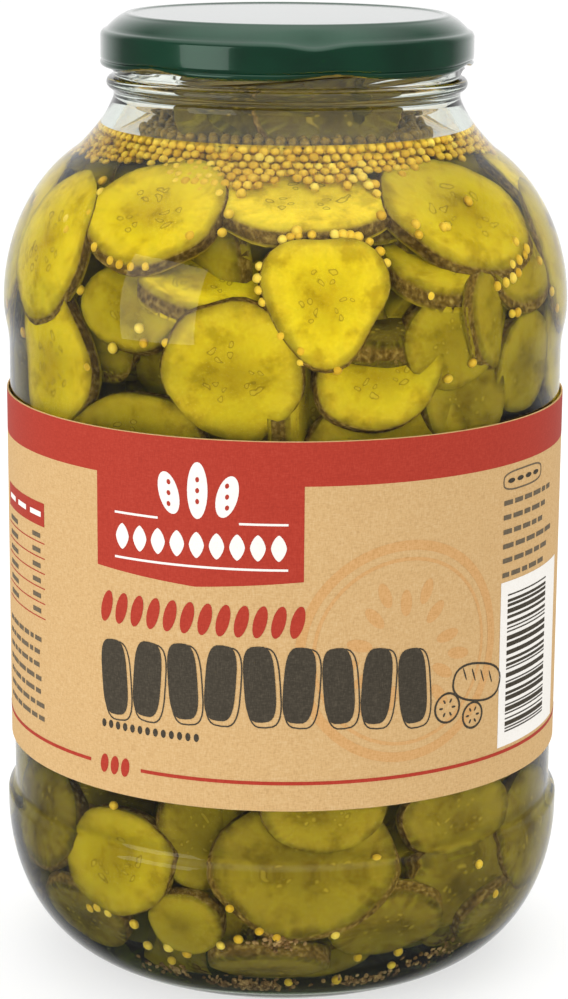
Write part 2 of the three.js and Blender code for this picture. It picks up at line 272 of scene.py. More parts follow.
# Opal acrylic, cast smooth: an even pale glow that still takes the jar's soft shade
acrylic, tree = material("white acrylic of a light table")
lit_sheet = add(tree, "BsdfPrincipled", {
    "Base Color": linear(TABLE_WHITE), "Roughness": 0.9, "Emission Color": STUDIO_WHITE,
    "Emission Strength": TABLE_GLOW,
})
add(tree, "OutputMaterial", {"Surface": lit_sheet})
studio_floor.data.materials.append(acrylic)
print("light table, metres across:", TABLE_SIZE)

# %% [markdown]
# ## The room
#
# The world is one white all round, and its strength depends on what a ray of light has done so far.
# The camera sees it at full white. Gloss mirrors it less behind the camera than behind the jar.
# Light that has met the slices and leaves through the glass finds it several times stronger, which
# stands for the light that a glowing table and a room full of white card send into the heap.

# %% White room
ROOM_LIGHT = 1.02
ROOM_BEHIND_CAMERA = 0.13
ROOM_BEHIND_JAR = 0.95
ROOM_ABOVE = 0.9
ROOM_INTO_JAR = 3.5
world = bpy.data.worlds.new("white studio")
bpy.context.scene.world = world
world.use_nodes = True
world.cycles.sampling_method = "NONE"
tree = world.node_tree
tree.nodes.clear()

path = add(tree, "LightPath").outputs
towards = add(tree, "SeparateXYZ", {0: add(tree, "TexCoord").outputs["Generated"]}).outputs
backward = add(tree, "MapRange", {"Value": towards[1], "From Min": 0.5, "From Max": 1.0})
upward = add(tree, "MapRange", {"Value": towards[2], "From Min": 0.6, "From Max": 0.95})
met_slices = add(tree, "Math", {0: path["Diffuse Depth"], 1: 0.5}, operation="GREATER_THAN")
mirrored = add(tree, "Mix", {0: backward, 2: ROOM_BEHIND_CAMERA, 3: ROOM_BEHIND_JAR})
mirrored = add(tree, "Mix", {0: upward, 2: mirrored, 3: ROOM_ABOVE})
through = add(tree, "Mix", {0: met_slices, 2: 1.0, 3: ROOM_INTO_JAR})
room = add(tree, "Mix", {0: path["Is Glossy Ray"], 2: ROOM_LIGHT, 3: mirrored})
room = add(tree, "Mix", {0: path["Is Transmission Ray"], 2: room, 3: through})
room = add(tree, "Mix", {0: path["Is Camera Ray"], 2: room, 3: 1.0})
sky = add(tree, "Background", {"Color": STUDIO_WHITE, "Strength": room})
add(tree, "OutputWorld", {"Surface": sky})
print("nodes in the room:", len(tree.nodes))

# %% Soft boxes, in metres and watts, and whether gloss mirrors them
SOFT_BOXES = {
    "key box": dict(place=(-0.91, -0.74, 0.34), size=(0.7, 0.86), watts=2.2, mirrored=True),
    "key wash": dict(place=(-0.75, -0.9, 0.6), size=(0.7, 0.86), watts=2.4, mirrored=False),
    "fill box": dict(place=(1.1, -0.2, 0.4), size=(0.16, 0.9), watts=0.5, mirrored=False),
    "top box": dict(place=(0.1, 0.3, 1.3), size=(1.2, 0.8), watts=7, mirrored=False),
}
JAR_MIDDLE = Vector((0, 0, 0.11))
for name, box in SOFT_BOXES.items():
    bpy.ops.object.light_add(type="AREA", location=box["place"])
    lamp = named(name)
    lamp.data.shape = "RECTANGLE"
    lamp.data.size, lamp.data.size_y = box["size"]
    lamp.data.energy = box["watts"]
    lamp.visible_transmission = False
    lamp.visible_glossy = box["mirrored"]
    lamp.rotation_euler = (JAR_MIDDLE - Vector(box["place"])).to_track_quat("-Z", "Y").to_euler()
print("soft boxes:", len(SOFT_BOXES))

# %% How far light is followed: through two faces of glass, brine, slices and out again
view = bpy.context.scene.view_settings
view.view_transform = "Standard"
view.look = "None"
light_paths = bpy.context.scene.cycles
light_paths.max_bounces = 14
light_paths.transmission_bounces = 12
light_paths.transparent_max_bounces = 10
light_paths.blur_glossy = 0
light_paths.caustics_reflective = False
light_paths.caustics_refractive = True
print("bounces:", light_paths.max_bounces)

# %% [markdown]
# ## Turning a profile
#
# A potter or a glass mould turns an outline round an axis, and Blender's spin tool does the same.
# A single vertex is drawn along the profile by extruding it from point to point, the line is spun
# once round, and the seam and the poles are merged so that the shell is closed.

# %% A function that turns a profile
def turned(name, profile, steps):
    """Draws a profile with a vertex and spins it round the Z axis into a closed shell."""
    bpy.ops.object.select_all(action="DESELECT")
    bpy.ops.mesh.primitive_plane_add(size=MM, location=(profile[0][0], 0, profile[0][1]))
    piece = named(name)
    bpy.ops.object.mode_set(mode="EDIT")
    bpy.ops.mesh.select_mode(type="VERT")
    bpy.ops.mesh.merge(type="CENTER")
    for (from_r, from_z), (to_r, to_z) in zip(profile, profile[1:]):
        move = (to_r - from_r, 0, to_z - from_z)
        bpy.ops.mesh.extrude_region_move(TRANSFORM_OT_translate={"value": move})
    bpy.ops.mesh.select_all(action="SELECT")
    bpy.ops.mesh.spin(steps=steps, angle=2 * math.pi, center=(0, 0, 0), axis=(0, 0, 1))
    bpy.ops.mesh.select_all(action="SELECT")
    bpy.ops.mesh.remove_doubles(threshold=0.002 * MM)
    bpy.ops.mesh.normals_make_consistent(inside=False)
    bpy.ops.object.mode_set(mode="OBJECT")
    bpy.ops.object.transform_apply(location=True, rotation=True, scale=True)
    bpy.ops.object.shade_smooth()
    return piece


def angle_round(place):
    """Azimuth in degrees, 0 at the front of the jar and growing towards +X."""
    return math.degrees(math.atan2(place.x, -place.y))


# %% [markdown]
# ## The glass
#
# The jar is blown in a mould: a thick heel, an even wall, a bead under the lid that the mould's neck
# ring leaves, and six threads that each climb to the right. It is spun as one closed profile, up the
# outside and down the inside, and the threads are raised from the finish afterwards, because their
# height changes as they go round.

# %% Spin the glass and raise its threads
THREADS = 6
THREAD_START = -38
THREAD_TURN = 72
THREAD_LOW = 207.4 * MM
THREAD_CLIMB = 4.2 * MM
THREAD_HALF = 1.3 * MM
THREAD_DEPTH = 1.6 * MM
FINISH_BOTTOM = NECK_HEIGHT + 4.9 * MM
FINISH_TOP = MOUTH_HEIGHT - 1.2 * MM


def glass_profile():
    """Up the outside of the glass, over the lip and down the inside."""
    push_up = ((0, 3), (20, 2.9), (30, 2.5), (34, 1.2), (36, 0.2), (38.5, 0))
    foot = [(radius * MM, height * MM) for radius, height in push_up]
    heel = bow(FOOT_RADIUS, BELLY_HEIGHT, BELLY_RADIUS - FOOT_RADIUS, BELLY_HEIGHT, -90, 0, 26)
    shoulder = bow(
        SHOULDER_CENTRE, SHOULDER_HEIGHT, SHOULDER_RADIUS - SHOULDER_CENTRE, SHOULDER_RISE,
        0, SHOULDER_END, 24)
    neck = sweep(shoulder[-1], (41.3 * MM, 196.2 * MM), (NECK_RADIUS, NECK_HEIGHT), 12)
    bead = bow(NECK_RADIUS, NECK_HEIGHT + 3.2 * MM, 1.6 * MM, 1.5 * MM, -90, 90, 12)
    rings = 14
    finish = [
        (FINISH_RADIUS, FINISH_BOTTOM + (FINISH_TOP - FINISH_BOTTOM) * k / rings) for k in range(rings)]
    lip = bow(38 * MM, FINISH_TOP, 1.3 * MM, 1.2 * MM, 0, 180, 10)
    outside = foot + heel + side_wall(0) + shoulder + neck[1:] + bead + finish + lip
    return outside + INSIDE[::-1]


def thread_rise(azimuth, height):
    """How far the threads stand out of the finish at a place on it."""
    rise = 0
    for turn in range(THREADS):
        along = (azimuth - THREAD_START - turn * 360 / THREADS) % 360 / THREAD_TURN
        if along > 1:
            continue
        off_centre = abs(height - THREAD_LOW - THREAD_CLIMB * along) / THREAD_HALF
        taper = min(1, 6 * along, 6 * (1 - along))
        rise = max(rise, THREAD_DEPTH * taper * eased(1, 0, off_centre))
    return rise


glass_jar = turned("glass_jar_clear", glass_profile(), 160)
for vertex in glass_jar.data.vertices:
    radius = math.hypot(vertex.co.x, vertex.co.y)
    if vertex.co.z > FINISH_BOTTOM and radius > FINISH_RADIUS - 0.01 * MM:
        scale = 1 + thread_rise(angle_round(vertex.co), vertex.co.z) / radius
        vertex.co.x *= scale
        vertex.co.y *= scale
print("glass vertices:", len(glass_jar.data.vertices))

# %% [markdown]
# ## Container glass
#
# Soda-lime glass with an index of 1.52, fire-polished smooth. It is nearly colourless, and its faint
# green shows only where light travels far through it, at the foot and in the bead, so the tint is a
# volume and not a surface colour. Lamps are let through by a second shader that only their shadow
# rays meet, because light bent by a smooth wall would otherwise never reach the slices. Where brine
# wets the glass, light hardly turns as it passes, so that face has almost no gloss of its own.

# %% Clear materials
FULL_GLOSS = "#ffffff"
WET_GLOSS = "#1c1c1c"


def clear_body(name, ior, tint, density, lamp_tint, gloss):
    """A clear solid with a tint that grows with depth, which lamps shine through."""
    made, tree = material(name)
    solid = add(tree, "BsdfPrincipled", {
        "Base Color": linear("#ffffff"), "Roughness": 0, "IOR": ior, "Transmission Weight": 1,
        "Specular Tint": linear(gloss),
    })
    for_lamps = add(tree, "BsdfTransparent", {"Color": linear(lamp_tint)})
    is_shadow = add(tree, "LightPath").outputs["Is Shadow Ray"]
    surface = add(tree, "MixShader", {0: is_shadow, 1: solid, 2: for_lamps})
    depth_tint = add(tree, "VolumeAbsorption", {"Color": linear(tint), "Density": density})
    add(tree, "OutputMaterial", {"Surface": surface, "Volume": depth_tint})
    return made


# %% Glass, bright outside and quiet where the brine wets it
GLASS = dict(ior=1.52, tint="#aed2a6", density=30, lamp_tint="#fbfdfa")
flint_glass = clear_body("soda-lime container glass, fire-polished", gloss=FULL_GLOSS, **GLASS)
wet_glass = clear_body("soda-lime container glass, wetted by brine", gloss=WET_GLOSS, **GLASS)
glass_jar.data.materials.append(flint_glass)
glass_jar.data.materials.append(wet_glass)
for face in glass_jar.data.polygons:
    radius = math.hypot(face.center.x, face.center.y)
    inside = radius < inner_radius(face.center.z) + 0.3 * MM and face.center.z > FLOOR - 0.5 * MM
    face.material_index = 1 if inside and face.center.z < BRINE_LEVEL else 0
print("wetted faces:", sum(face.material_index for face in glass_jar.data.polygons))

# %% [markdown]
# ## The lid
#
# A twist-off lid is pressed from tinplate in one stroke: a hem curled inwards, a straight skirt, a
# rolled step, a slope up to the crown, and a panel sunk inside it. Its six lugs are places where the
# hem is pinched in to grip the threads, and they show as shallow arches in its lower edge. The
# profile is spun, the lugs are then pinched in, and the front of the step is pressed down a little,
# where this lid has taken a knock.

# %% Spin the lid
LID_TOP = 220.2 * MM
SKIRT_BOTTOM = 208.4 * MM
SKIRT_RADIUS = 42.4 * MM
SHEET = 0.6 * MM
SEALING_FACE = MOUTH_HEIGHT + 0.35 * MM
SKIRT_LEVELS = (1.9, 2.4, 3.4, 4.6, 5.8, 6.4)


def lid_profile():
    """Up the outside of the lid to its middle, and back down the inside."""
    edge = bow(SKIRT_RADIUS - 0.7 * MM, SKIRT_BOTTOM + 0.8 * MM, 0.8 * MM, 0.8 * MM, -90, 60, 8)
    skirt = [(SKIRT_RADIUS, SKIRT_BOTTOM + level * MM) for level in SKIRT_LEVELS]
    step = bow(SKIRT_RADIUS - 1.5 * MM, SKIRT_BOTTOM + 6.8 * MM, 1.5 * MM, 1.5 * MM, 0, 75, 7)
    slope = sweep(
        (SKIRT_RADIUS - 1.5 * MM, SKIRT_BOTTOM + 8.5 * MM),
        (SKIRT_RADIUS - 3.4 * MM, LID_TOP - 1.2 * MM),
        (SKIRT_RADIUS - 5.1 * MM, LID_TOP - 0.45 * MM), 8)
    crown = bow(SKIRT_RADIUS - 6.4 * MM, LID_TOP - 0.7 * MM, 1.3 * MM, 0.7 * MM, 30, 145, 8)
    panel = [
        (SKIRT_RADIUS - 8.3 * MM, LID_TOP - 0.33 * MM), (30 * MM, LID_TOP - 0.33 * MM),
        (12 * MM, LID_TOP - 0.3 * MM), (0, LID_TOP - 0.3 * MM)]
    lining = [
        (0, LID_TOP - 1 * MM - SHEET), (SKIRT_RADIUS - 7.4 * MM, LID_TOP - 1.1 * MM - SHEET),
        (SKIRT_RADIUS - 6.8 * MM, SEALING_FACE), (SKIRT_RADIUS - 2.6 * MM, SEALING_FACE),
        (SKIRT_RADIUS - SHEET - 0.4 * MM, SKIRT_BOTTOM + 6 * MM),
        (SKIRT_RADIUS - SHEET, SKIRT_BOTTOM + 1.4 * MM), edge[0]]
    return edge + skirt + step + slope + crown + panel + lining


lid = turned("lid_enamelled", lid_profile(), 180)
print("lid vertices:", len(lid.data.vertices))

# %% Pinch its lugs and press in its dent, in degrees round it and millimetres above the hem
FIRST_LUG = 15
LUG_PITCH = 60
LUG_WIDTH = 11
LUG_DEPTH = 0.9 * MM
LUG_RISE = 1 * MM
LUG_TOP = 2.6
DENT_AZIMUTH = 8
DENT_WIDTH = 7
DENT_DEPTH = 1 * MM
DENT_FROM = 4.2
DENT_FULL = 6.8
DENT_FADES = 8.8
DENT_TO = 11.2
for vertex in lid.data.vertices:
    radius = math.hypot(vertex.co.x, vertex.co.y)
    if radius < MM:
        continue
    azimuth = angle_round(vertex.co)
    above_hem = (vertex.co.z - SKIRT_BOTTOM) / MM
    from_lug = (azimuth - FIRST_LUG + LUG_PITCH / 2) % LUG_PITCH - LUG_PITCH / 2
    pinch = min(1, max(0, 1 - above_hem / LUG_TOP)) * math.exp(-((from_lug / LUG_WIDTH) ** 2))
    at_step = eased(0, 1, (above_hem - DENT_FROM) / (DENT_FULL - DENT_FROM))
    at_step *= eased(1, 0, (above_hem - DENT_FADES) / (DENT_TO - DENT_FADES))
    dent = DENT_DEPTH * at_step * math.exp(-(((azimuth - DENT_AZIMUTH) / DENT_WIDTH) ** 2))
    scale = (radius - LUG_DEPTH * pinch) / radius
    vertex.co.x *= scale
    vertex.co.y *= scale
    vertex.co.z += LUG_RISE * pinch - dent
only(lid)
bpy.ops.object.shade_smooth_by_angle(angle=math.radians(40))
print("lugs:", 360 // LUG_PITCH)

# %% [markdown]
# ## Green enamel
#
# The tinplate is roller-coated with enamel before it is pressed, so the finish is even and glossy,
# with a faint orange peel. A clear coat over a dark green base gives the bright reflections of the
# studio, and a fine noise in the base's normal keeps them from looking like a mirror.

# %% Enamel material
ORANGE_PEEL = 0.9 * MM
ENAMEL_CLOUD = 14 * MM
# Baked enamel: a deep green whose gloss is tinted by it, under a hard clear shine
enamel, tree = material("green enamel on tinplate, roller-coated")
peel = add(tree, "TexNoise", {"Vector": measured(tree, ORANGE_PEEL), "Scale": 1, "Detail": 2})
uneven = add(tree, "TexNoise", {"Vector": measured(tree, ENAMEL_CLOUD), "Scale": 1, "Detail": 3})
green = add(tree, "ValToRGB", {0: uneven}, ((0.3, "#012616"), (0.7, "#053522")))
relief = add(tree, "Bump", {"Height": peel, "Strength": 0.06, "Distance": 0.05 * MM})
enamelled = add(tree, "BsdfPrincipled", {
    "Base Color": green, "Roughness": 0.22, "Normal": relief,
    "Specular IOR Level": 1.0, "Specular Tint": linear("#b4f0cf"),
    "Coat Weight": 1, "Coat Roughness": 0.06,
})
add(tree, "OutputMaterial", {"Surface": enamelled})
lid.data.materials.append(enamel)
print("nodes in the enamel:", len(tree.nodes))

# %% [markdown]
# ## Gold lacquer
#
# Food would eat bare tinplate, so the inside of a lid is lacquered, and the lacquer makes it look
# golden. It only shows as a dull glint through the glass of the neck. The same mesh carries it: the
# faces that look inwards or down, and lie well inside the skirt, get the second material.

# %% Lacquer on the inside
LACQUER_CLOUD = 3 * MM
# Thin lacquer over tin: half metal, half varnish, so it glints softly and keeps its colour
gold, tree = material("gold lacquer on tinplate, inside of the lid")
drawn = add(tree, "TexNoise", {"Vector": measured(tree, LACQUER_CLOUD), "Scale": 1, "Detail": 2})
lacquer = add(tree, "ValToRGB", {0: drawn}, ((0.35, "#8d7a35"), (0.65, "#b09c50")))
lacquered = add(tree, "BsdfPrincipled", {"Base Color": lacquer, "Metallic": 0.5, "Roughness": 0.3})
add(tree, "OutputMaterial", {"Surface": lacquered})
lid.data.materials.append(gold)
for face in lid.data.polygons:
    outward = Vector((face.center.x, face.center.y, 0)).normalized()
    faces_inward = face.normal.dot(outward) < -0.3 or face.normal.z < -0.5
    below_panel = face.center.z < LID_TOP - 1.3 * MM
    inside_skirt = face.center.dot(outward) < SKIRT_RADIUS - 0.55 * MM
    face.material_index = 1 if faces_inward and below_panel and inside_skirt else 0
print("lacquered faces:", sum(face.material_index for face in lid.data.polygons))

# %% [markdown]
# ## One slice of cucumber
#
# All the slices come from one pattern, a disc with a few rings of points: two cut faces that can
# swell or sag, and a rim with the skin on it. It starts as a cylinder. Insetting the cut faces gives
# the rings, poking the last one closes it at the middle, and two cuts across the side let the skin
# bulge. Each slice is then a copy of its own, so that no two need to look alike.

# %% Model the pattern of a slice
SLICE_SIDES = 36
RINGS = (0.06, 0.17, 0.24, 0.24)
SKIN_CUT = 0.24


def unit_disc():
    """A disc of radius 1 and height 1 with rings on both faces and two cuts round its side."""
    bpy.ops.object.select_all(action="DESELECT")
    bpy.ops.mesh.primitive_cylinder_add(vertices=SLICE_SIDES, radius=1, depth=1)
    disc = named("slice_pattern")
    bpy.ops.object.mode_set(mode="EDIT")
    bpy.ops.mesh.select_mode(type="FACE")
    bpy.ops.mesh.select_all(action="DESELECT")
    bpy.ops.object.mode_set(mode="OBJECT")
    for face in disc.data.polygons:
        face.select = abs(face.normal.z) > 0.9
    bpy.ops.object.mode_set(mode="EDIT")
    for inset in RINGS:
        bpy.ops.mesh.inset(thickness=inset, use_individual=True)
    bpy.ops.mesh.poke()
    for level in (-SKIN_CUT, SKIN_CUT):
        bpy.ops.mesh.select_all(action="SELECT")
        bpy.ops.mesh.bisect(plane_co=(0, 0, level), plane_no=(0, 0, 1))
    bpy.ops.object.mode_set(mode="OBJECT")
    return disc


def write_attribute(mesh, name, values):
    """Stores one number, or one vector, for each point of a mesh."""
    vectors = isinstance(values[0], Vector)
    layer = mesh.attributes.new(name, "FLOAT_VECTOR" if vectors else "FLOAT", "POINT")
    flat = [number for vector in values for number in vector] if vectors else values
    layer.data.foreach_set("vector" if vectors else "value", flat)


slice_pattern = unit_disc()
unit_points = [vertex.co.copy() for vertex in slice_pattern.data.vertices]
on_skin = [float(math.hypot(p.x, p.y) > 0.99 and abs(p.z) < 0.4) for p in unit_points]
write_attribute(slice_pattern.data, "across", unit_points)
write_attribute(slice_pattern.data, "skin", on_skin)
print("faces in one slice:", len(slice_pattern.data.polygons))

# %% [markdown]
# ## Where the slices lie
#
# A slice is placed by where its middle meets the glass: an angle round the jar and a height. It
# lies a little behind the glass, its top can lean away and its right side can turn away. Its tone
# is painted light and shade, with a little of each slice's own tone: olive at 0 in shade, bright
# yellow at 1 where lit, a paler yellow still at 2 where most lit, and dark brown at -1 in deep shade.
# Those that show at the front are placed one by one, because their pattern is what makes the jar
# look like itself. Those round the sides and back, and the ones behind, are drawn by a seeded
# random rule.

# %% Slices that show at the front, in degrees and millimetres
# az and z: angle and height; deep: how far behind the glass; w and h: width and height; spin, lean
# and turn: its turns; tri: how three-cornered it is; top: how high it may reach; behind, in the
# deeper rows: the room left to the slices in front
# tone: painted light and shade, dark brown in deep shade, olive in shade and bright yellow where lit
FRONT_SLICES = {
    "leftTall": dict(az=-61, z=170.5, deep=1, w=28, h=32, spin=8, turn=-4, tone=0.95),
    "leftBright": dict(az=-33, z=180, deep=1.5, w=33, h=25, spin=14, lean=4, tri=0.05, tone=0.95),
    "topWide": dict(az=5, z=183, deep=4.5, w=35, h=21, lean=20, tone=1.6),
    "centre": dict(az=8, z=164.8, deep=0.5, w=26, h=26.5, tri=0.12, tone=0.88),
    "bigRound": dict(az=-10.5, z=148.5, deep=0.6, w=29.5, h=30.5, tri=0.03, spin=20, tone=0.72),
    "leftOlive": dict(az=-34, z=161, deep=5, w=26, h=18, lean=8, tone=0.48),
    "wedge": dict(az=-18, z=167, deep=6, w=27, h=24, lean=50, turn=14, tone=0.95),
    "lowLeft": dict(az=-56, z=146, deep=1, w=34, h=25, tri=0.09, spin=90, tone=0.92),
    "sliver": dict(az=-34, z=131, deep=3, w=34, h=22, spin=12, tone=0.5),
    "rightBright": dict(az=46, z=179, deep=3, w=40, h=27, spin=-22, lean=10, tone=0.72),
    "rightUnder": dict(az=42, z=170, deep=6, w=36, h=26, lean=45, tone=0.6),
    "rightFar": dict(az=60, z=169, deep=3, w=26, h=22, lean=20, tone=0.34),
    "rightOlive": dict(az=37, z=154, deep=3.5, w=25, h=21, lean=6, tone=0.36),
    "halfRound": dict(az=20, z=148.5, deep=3, w=29, h=24, lean=28, spin=20, tone=0.74),
    "shadedRim": dict(az=21, z=158.5, deep=6, w=24, h=22, lean=64, tone=-0.4),
    "rightSlim": dict(az=49, z=158, deep=3, w=20, h=22, turn=38, tone=0.28),
    "rightLow": dict(az=41, z=141, deep=3, w=23, h=22, lean=6, tone=0.22),
    "edgeOn": dict(az=4, z=139, deep=4, w=20, h=24, turn=68, tone=0.4),
    "belowHalf": dict(az=23, z=133, deep=3, w=36, h=24, lean=16, tone=0.38),
    "rightPale": dict(az=60, z=146, deep=3, w=22, h=23, tone=0.32),
    "footLeft": dict(az=-37, z=35, deep=1.5, w=30, h=24, spin=10, tone=0.55),
    "footPale": dict(az=-21, z=23, deep=2, w=17, h=15, tone=0.3),
    "footNarrow": dict(az=-18, z=43, deep=4, w=18, h=24, turn=25, tone=0.18),
    "footBig": dict(az=5, z=38, deep=2.5, w=40, h=33, tone=0.2),
    "footGreen": dict(az=9, z=51, deep=0.5, w=27, h=20, lean=-6, tone=0.28),
    "footRight": dict(az=41, z=45, deep=1, w=31, h=20, spin=-6, tone=0.17),
    "footShaded": dict(az=43, z=29, deep=4, w=30, h=22, lean=-10, tone=0.02),
    "footEdge": dict(az=-62, z=40, deep=1.5, w=28, h=26, tone=0.1),
    "footFar": dict(az=66, z=36, deep=2, w=28, h=28, tone=0.1),
    "leftEdge": dict(az=-83, z=170, deep=2, w=26, h=34, turn=-10, tone=0.8),
    "rightEdge": dict(az=81, z=167, deep=2, w=26, h=32, turn=12, tone=0.55),
    "footLowLeft": dict(az=-49, z=19, deep=2, w=26, h=17, lean=-14, tone=0.03),
    "footLowRight": dict(az=57, z=18, deep=2, w=28, h=17, lean=-14, tone=0.03),
    "footUnder": dict(az=-3, z=13, deep=2, w=26, h=14, lean=-24, tone=0.03),
    "footMiddle": dict(az=24, z=22, deep=3, w=26, h=20, lean=-20, tone=0.06),
    "neckLeft": dict(az=-24, z=201, deep=12, w=30, h=24, lean=14, turn=12, tone=-0.8, top=211),
    "neckRight": dict(az=22, z=200.5, deep=12, w=32, h=24, lean=20, turn=-8, tone=-0.6, top=210),
    "neckMiddle": dict(az=-2, z=203, deep=17, w=38, h=27, lean=30, tone=-1.0, top=213),
}
print("slices placed one by one:", len(FRONT_SLICES))

# %% Rows round the sides and the back
SIDE_START = 80
SIDE_SPAN = 200
ROW_SHIFT = 8
# Each row's tone is painted light and shade: bright near the top, where the light falls, olive towards
# the foot
SIDE_ROWS = (
    dict(z=180, count=6, size=33, lean=16, tone=0.95),
    dict(z=162, count=6, size=32, lean=6, tone=0.75),
    dict(z=144, count=6, size=32, lean=4, tone=0.6),
    dict(z=44, count=6, size=32, lean=0, tone=0.34),
    dict(z=24, count=5, size=32, lean=-8, tone=0.24),
)
RANDOM_SEED = 2877
draw = random.Random(RANDOM_SEED)


def side_slices():
    """Slices against the glass round the sides and the back."""
    for number, row in enumerate(SIDE_ROWS):
        shift = ROW_SHIFT if number % 2 else -ROW_SHIFT
        for k in range(row["count"]):
            yield dict(
                az=SIDE_START + SIDE_SPAN * (k + 0.5) / row["count"] + shift + draw.uniform(-4, 4),
                z=row["z"] + draw.uniform(-3, 3),
                deep=draw.uniform(0.5, 3.5),
                w=row["size"] * draw.uniform(0.85, 1.15),
                h=row["size"] * draw.uniform(0.78, 1.02),
                lean=row["lean"] + draw.uniform(-12, 12),
                turn=draw.uniform(-16, 16),
                spin=draw.uniform(-40, 40),
                tri=draw.uniform(0, 0.1),
                tone=row["tone"] * draw.uniform(0.8, 1.1),
            )


# %% Rows deeper in the heap, and those behind the gap in the label
# Each row's height, its count round the jar, its depth behind the glass and its tone, which is
# painted shade: the deeper rows are darker
INNER_ROWS = (
    (183, 9, 10, 0.5), (172, 11, 9, 0.36), (160, 12, 9, 0.24), (149, 12, 9, 0.2), (138, 12, 9, 0.2),
    (176, 9, 18, 0.3), (164, 9, 18, 0.2), (152, 9, 18, 0.15), (141, 9, 18, 0.15),
    (54, 12, 9, 0.2), (43, 12, 9, 0.2), (31, 11, 9, 0.16), (21, 9, 10, 0.14),
    (47, 9, 18, 0.15), (34, 9, 18, 0.12),
)
# Height and tone of the pairs of slices that fill the gap at the back; the tone is painted light,
# lighter higher up
GAP_ROWS = ((62, 0.3), (77, 0.34), (92, 0.38), (107, 0.44), (122, 0.5))
GAP_SIDES = (166, 188)


def inner_slices():
    """Slices deeper in the heap, tipped every way."""
    for height, count, deep, tone in INNER_ROWS:
        start = draw.uniform(0, 360)
        for k in range(count):
            yield dict(
                az=start + 360 * k / count + draw.uniform(-6, 6),
                z=height + draw.uniform(-4, 4),
                deep=deep + draw.uniform(-2, 2),
                behind=deep * 0.4,
                w=draw.uniform(24, 34),
                h=draw.uniform(20, 30),
                lean=draw.uniform(-45, 60),
                turn=draw.uniform(-55, 55),
                spin=draw.uniform(0, 180),
                tri=draw.uniform(0, 0.1),
                tone=tone * draw.uniform(0.7, 1.2),
            )


def gap_slices():
    """Slices against the glass where the two ends of the label leave it bare."""
    for height, tone in GAP_ROWS:
        for side in GAP_SIDES:
            yield dict(
                az=side + draw.uniform(-3, 3),
                z=height + draw.uniform(-3, 3),
                deep=draw.uniform(1.5, 5),
                w=draw.uniform(26, 32),
                h=draw.uniform(20, 26),
                lean=draw.uniform(-10, 20),
                turn=draw.uniform(-25, 25),
                spin=draw.uniform(0, 180),
                tri=draw.uniform(0, 0.1),
                tone=tone,
            )


all_slices = list(FRONT_SLICES.values())
for more in (side_slices, inner_slices, gap_slices):
    all_slices += list(more())
print("slices in all:", len(all_slices))

# %% [markdown]
# ## Laying the slices in the jar
#
# Each slice gets a frame of its own: X to the right along the glass, Y up it, Z out through it. Its
# outline is an ellipse with up to three soft corners, as a cucumber has, and its thickness is what a
# kitchen slicer gives. A soft slice presses flat against the glass, so any point that would poke
# through the wall is drawn back to just inside it. Only the three in the neck, which stand out of
# the brine, may reach above its surface.

# %% Frames, and what keeps a slice inside the glass
SLICE_THICKNESS = 5.5
PRESS_GAP = 0.3 * MM
BEHIND_LABEL = reach_within((RECESS_BOTTOM + RECESS_TOP) / 2, PRESS_GAP)
LOWEST_SLICE = FLOOR + 2.5 * MM
UNDER_BRINE = BRINE_LEVEL - MM


def slice_frame(spec):
    """The matrix that carries a slice, in millimetres, to its place in the jar."""
    height = spec["z"] * MM
    azimuth = math.radians(spec["az"])
    outward = Vector((math.sin(azimuth), -math.cos(azimuth), 0))
    sideways = Vector((math.cos(azimuth), math.sin(azimuth), 0))
    place = outward * (inner_radius(height) - spec["deep"] * MM) + Vector((0, 0, height))
    basis = Matrix((sideways, (0, 0, 1), outward)).transposed().to_4x4()
    wall_tilt = math.atan(steepness(height))
    return (
        Matrix.Translation(place)
        @ basis
        @ Matrix.Rotation(math.radians(spec.get("turn", 0)), 4, "Y")
        @ Matrix.Rotation(-wall_tilt - math.radians(spec.get("lean", 0)), 4, "X")
        @ Matrix.Rotation(math.radians(spec.get("spin", 0)), 4, "Z")
        @ Matrix.Scale(MM, 4)
    )


def rim_reach(spec, angle):
    """How far the rim stands out at an angle, next to that of a plain ellipse."""
    return 1 + spec.get("tri", 0) * math.cos(3 * (angle + math.pi / 2))


def press_gap(spec, index):
    """The gap that a slice keeps to the glass: the deeper it lies, the more slices are in front."""
    return PRESS_GAP + (0.3 * spec["deep"] + 0.03 * (index % 9)) * MM + spec.get("behind", 0) * MM


def pressed(place, gap, top=UNDER_BRINE):
    """Draws a point back inside the glass and between the floor and the top that is allowed."""
    place.z = min(top, max(LOWEST_SLICE, place.z))
    radius = math.hypot(place.x, place.y)
    scale = min(1, reach_within(place.z, gap) / radius, (BEHIND_LABEL + PRESS_GAP - gap) / radius)
    return Vector((place.x * scale, place.y * scale, place.z))


# %% Copy the pattern for every slice and join them
# Slices are kept this far apart, in mm, in the coordinates of their grain, so that no two match
APART = 40
SKIN_BULGE = 0.03
CUT_EDGE = 0.9


